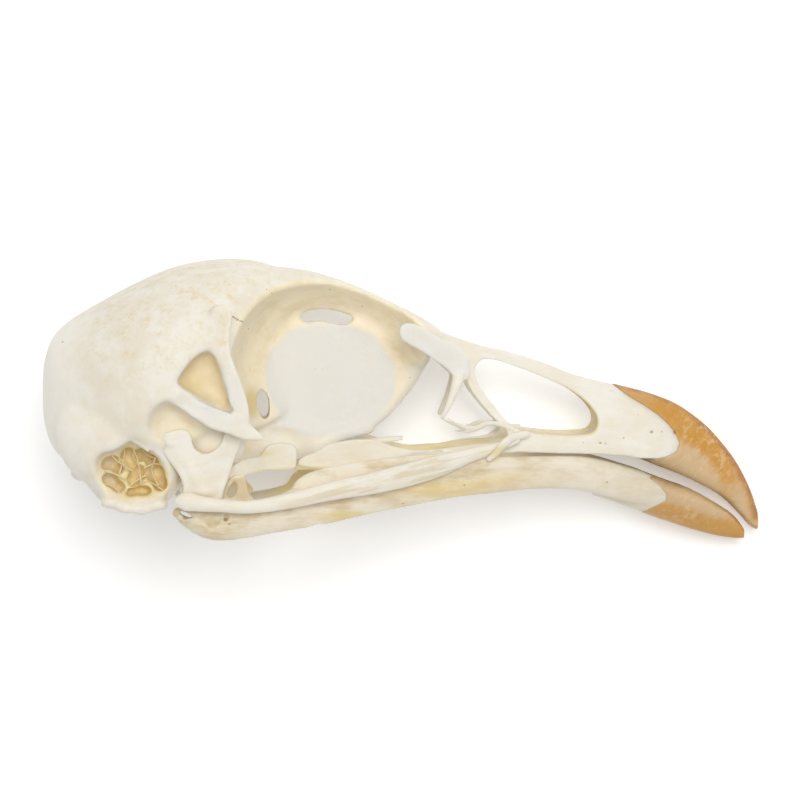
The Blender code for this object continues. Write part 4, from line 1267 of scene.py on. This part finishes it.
def make_light():
    scene = bpy.context.scene
    scene.view_settings.view_transform = "Standard"
    world = bpy.data.worlds.new("room")
    scene.world = world
    world.use_nodes = True
    background = world.node_tree.nodes["Background"]
    background.inputs["Color"].default_value = (1, 0.995, 0.985, 1)
    background.inputs["Strength"].default_value = scene.skull_stage.sky
    light = bpy.data.lights.new("key", "AREA")
    light.energy = scene.skull_stage.key_power
    light.shape = "DISK"
    light.size = 0.3
    light.color = (1, 0.985, 0.96)
    lamp = bpy.data.objects.new("key", light)
    scene.collection.objects.link(lamp)
    lamp.location = (0.13, 0.17, 0.55)
    lamp.rotation_euler = (Vector((0, 0, 0.01)) - lamp.location).to_track_quat("-Z", "Y").to_euler()


def make_camera():
    """A camera on the skull's right side, level with it, as the photograph's was."""
    back = Vector((-math.sin(VIEW_ROUND) * math.cos(VIEW_ABOVE), -math.cos(VIEW_ROUND) * math.cos(VIEW_ABOVE),
                   math.sin(VIEW_ABOVE)))
    right = Vector((0, 0, 1)).cross(back).normalized()
    above = back.cross(right)
    turn = Matrix((right, above, back)).transposed().to_4x4()
    place = Matrix.Translation((Vector(VIEW_AIM) + back * VIEW_DISTANCE) * MM)
    data = bpy.data.cameras.new("camera")
    data.sensor_width = SENSOR
    data.lens = SENSOR * VIEW_DISTANCE / VIEW_SPAN
    data.clip_start = 0.01
    data.clip_end = 10
    data.dof.use_dof = False
    camera = bpy.data.objects.new("camera", data)
    bpy.context.scene.collection.objects.link(camera)
    camera.matrix_world = Matrix.Translation(SKULL_AT * MM) @ LIE @ place @ turn
    bpy.context.scene.camera = camera


class SKULL_PT_panel(bpy.types.Panel):
    """The skull's settings and its pieces"""
    bl_idname = "SKULL_PT_panel"
    bl_label = "Chukar skull"
    bl_space_type = "VIEW_3D"
    bl_region_type = "UI"
    bl_category = "Skull"

    def draw(self, context):
        scene = context.scene
        for group in (scene.skull_sizes, scene.skull_colours, scene.skull_stage):
            box = self.layout.box()
            for key in group.__annotations__:
                box.prop(group, key)
        for operator in OPERATORS:
            self.layout.operator(operator.bl_idname)


OPERATORS = (SKULL_OT_cranium, SKULL_OT_upper_bill, SKULL_OT_cheek_and_palate, SKULL_OT_lower_jaw, SKULL_OT_stage)
GROUPS = (("skull_sizes", SkullSizes), ("skull_colours", SkullColours), ("skull_stage", SkullStage))


def register():
    for name, group in GROUPS:
        bpy.utils.register_class(group)
        setattr(bpy.types.Scene, name, PointerProperty(type=group))
    for operator in OPERATORS:
        bpy.utils.register_class(operator)
    bpy.utils.register_class(SKULL_PT_panel)


def unregister():
    bpy.utils.unregister_class(SKULL_PT_panel)
    for operator in reversed(OPERATORS):
        bpy.utils.unregister_class(operator)
    for name, group in reversed(GROUPS):
        delattr(bpy.types.Scene, name)
        bpy.utils.unregister_class(group)


def main():
    register()
    bpy.ops.skull.cranium()
    bpy.ops.skull.upper_bill()
    bpy.ops.skull.cheek_and_palate()
    bpy.ops.skull.lower_jaw()
    bpy.ops.skull.stage()


if __name__ == "__main__":
    main()
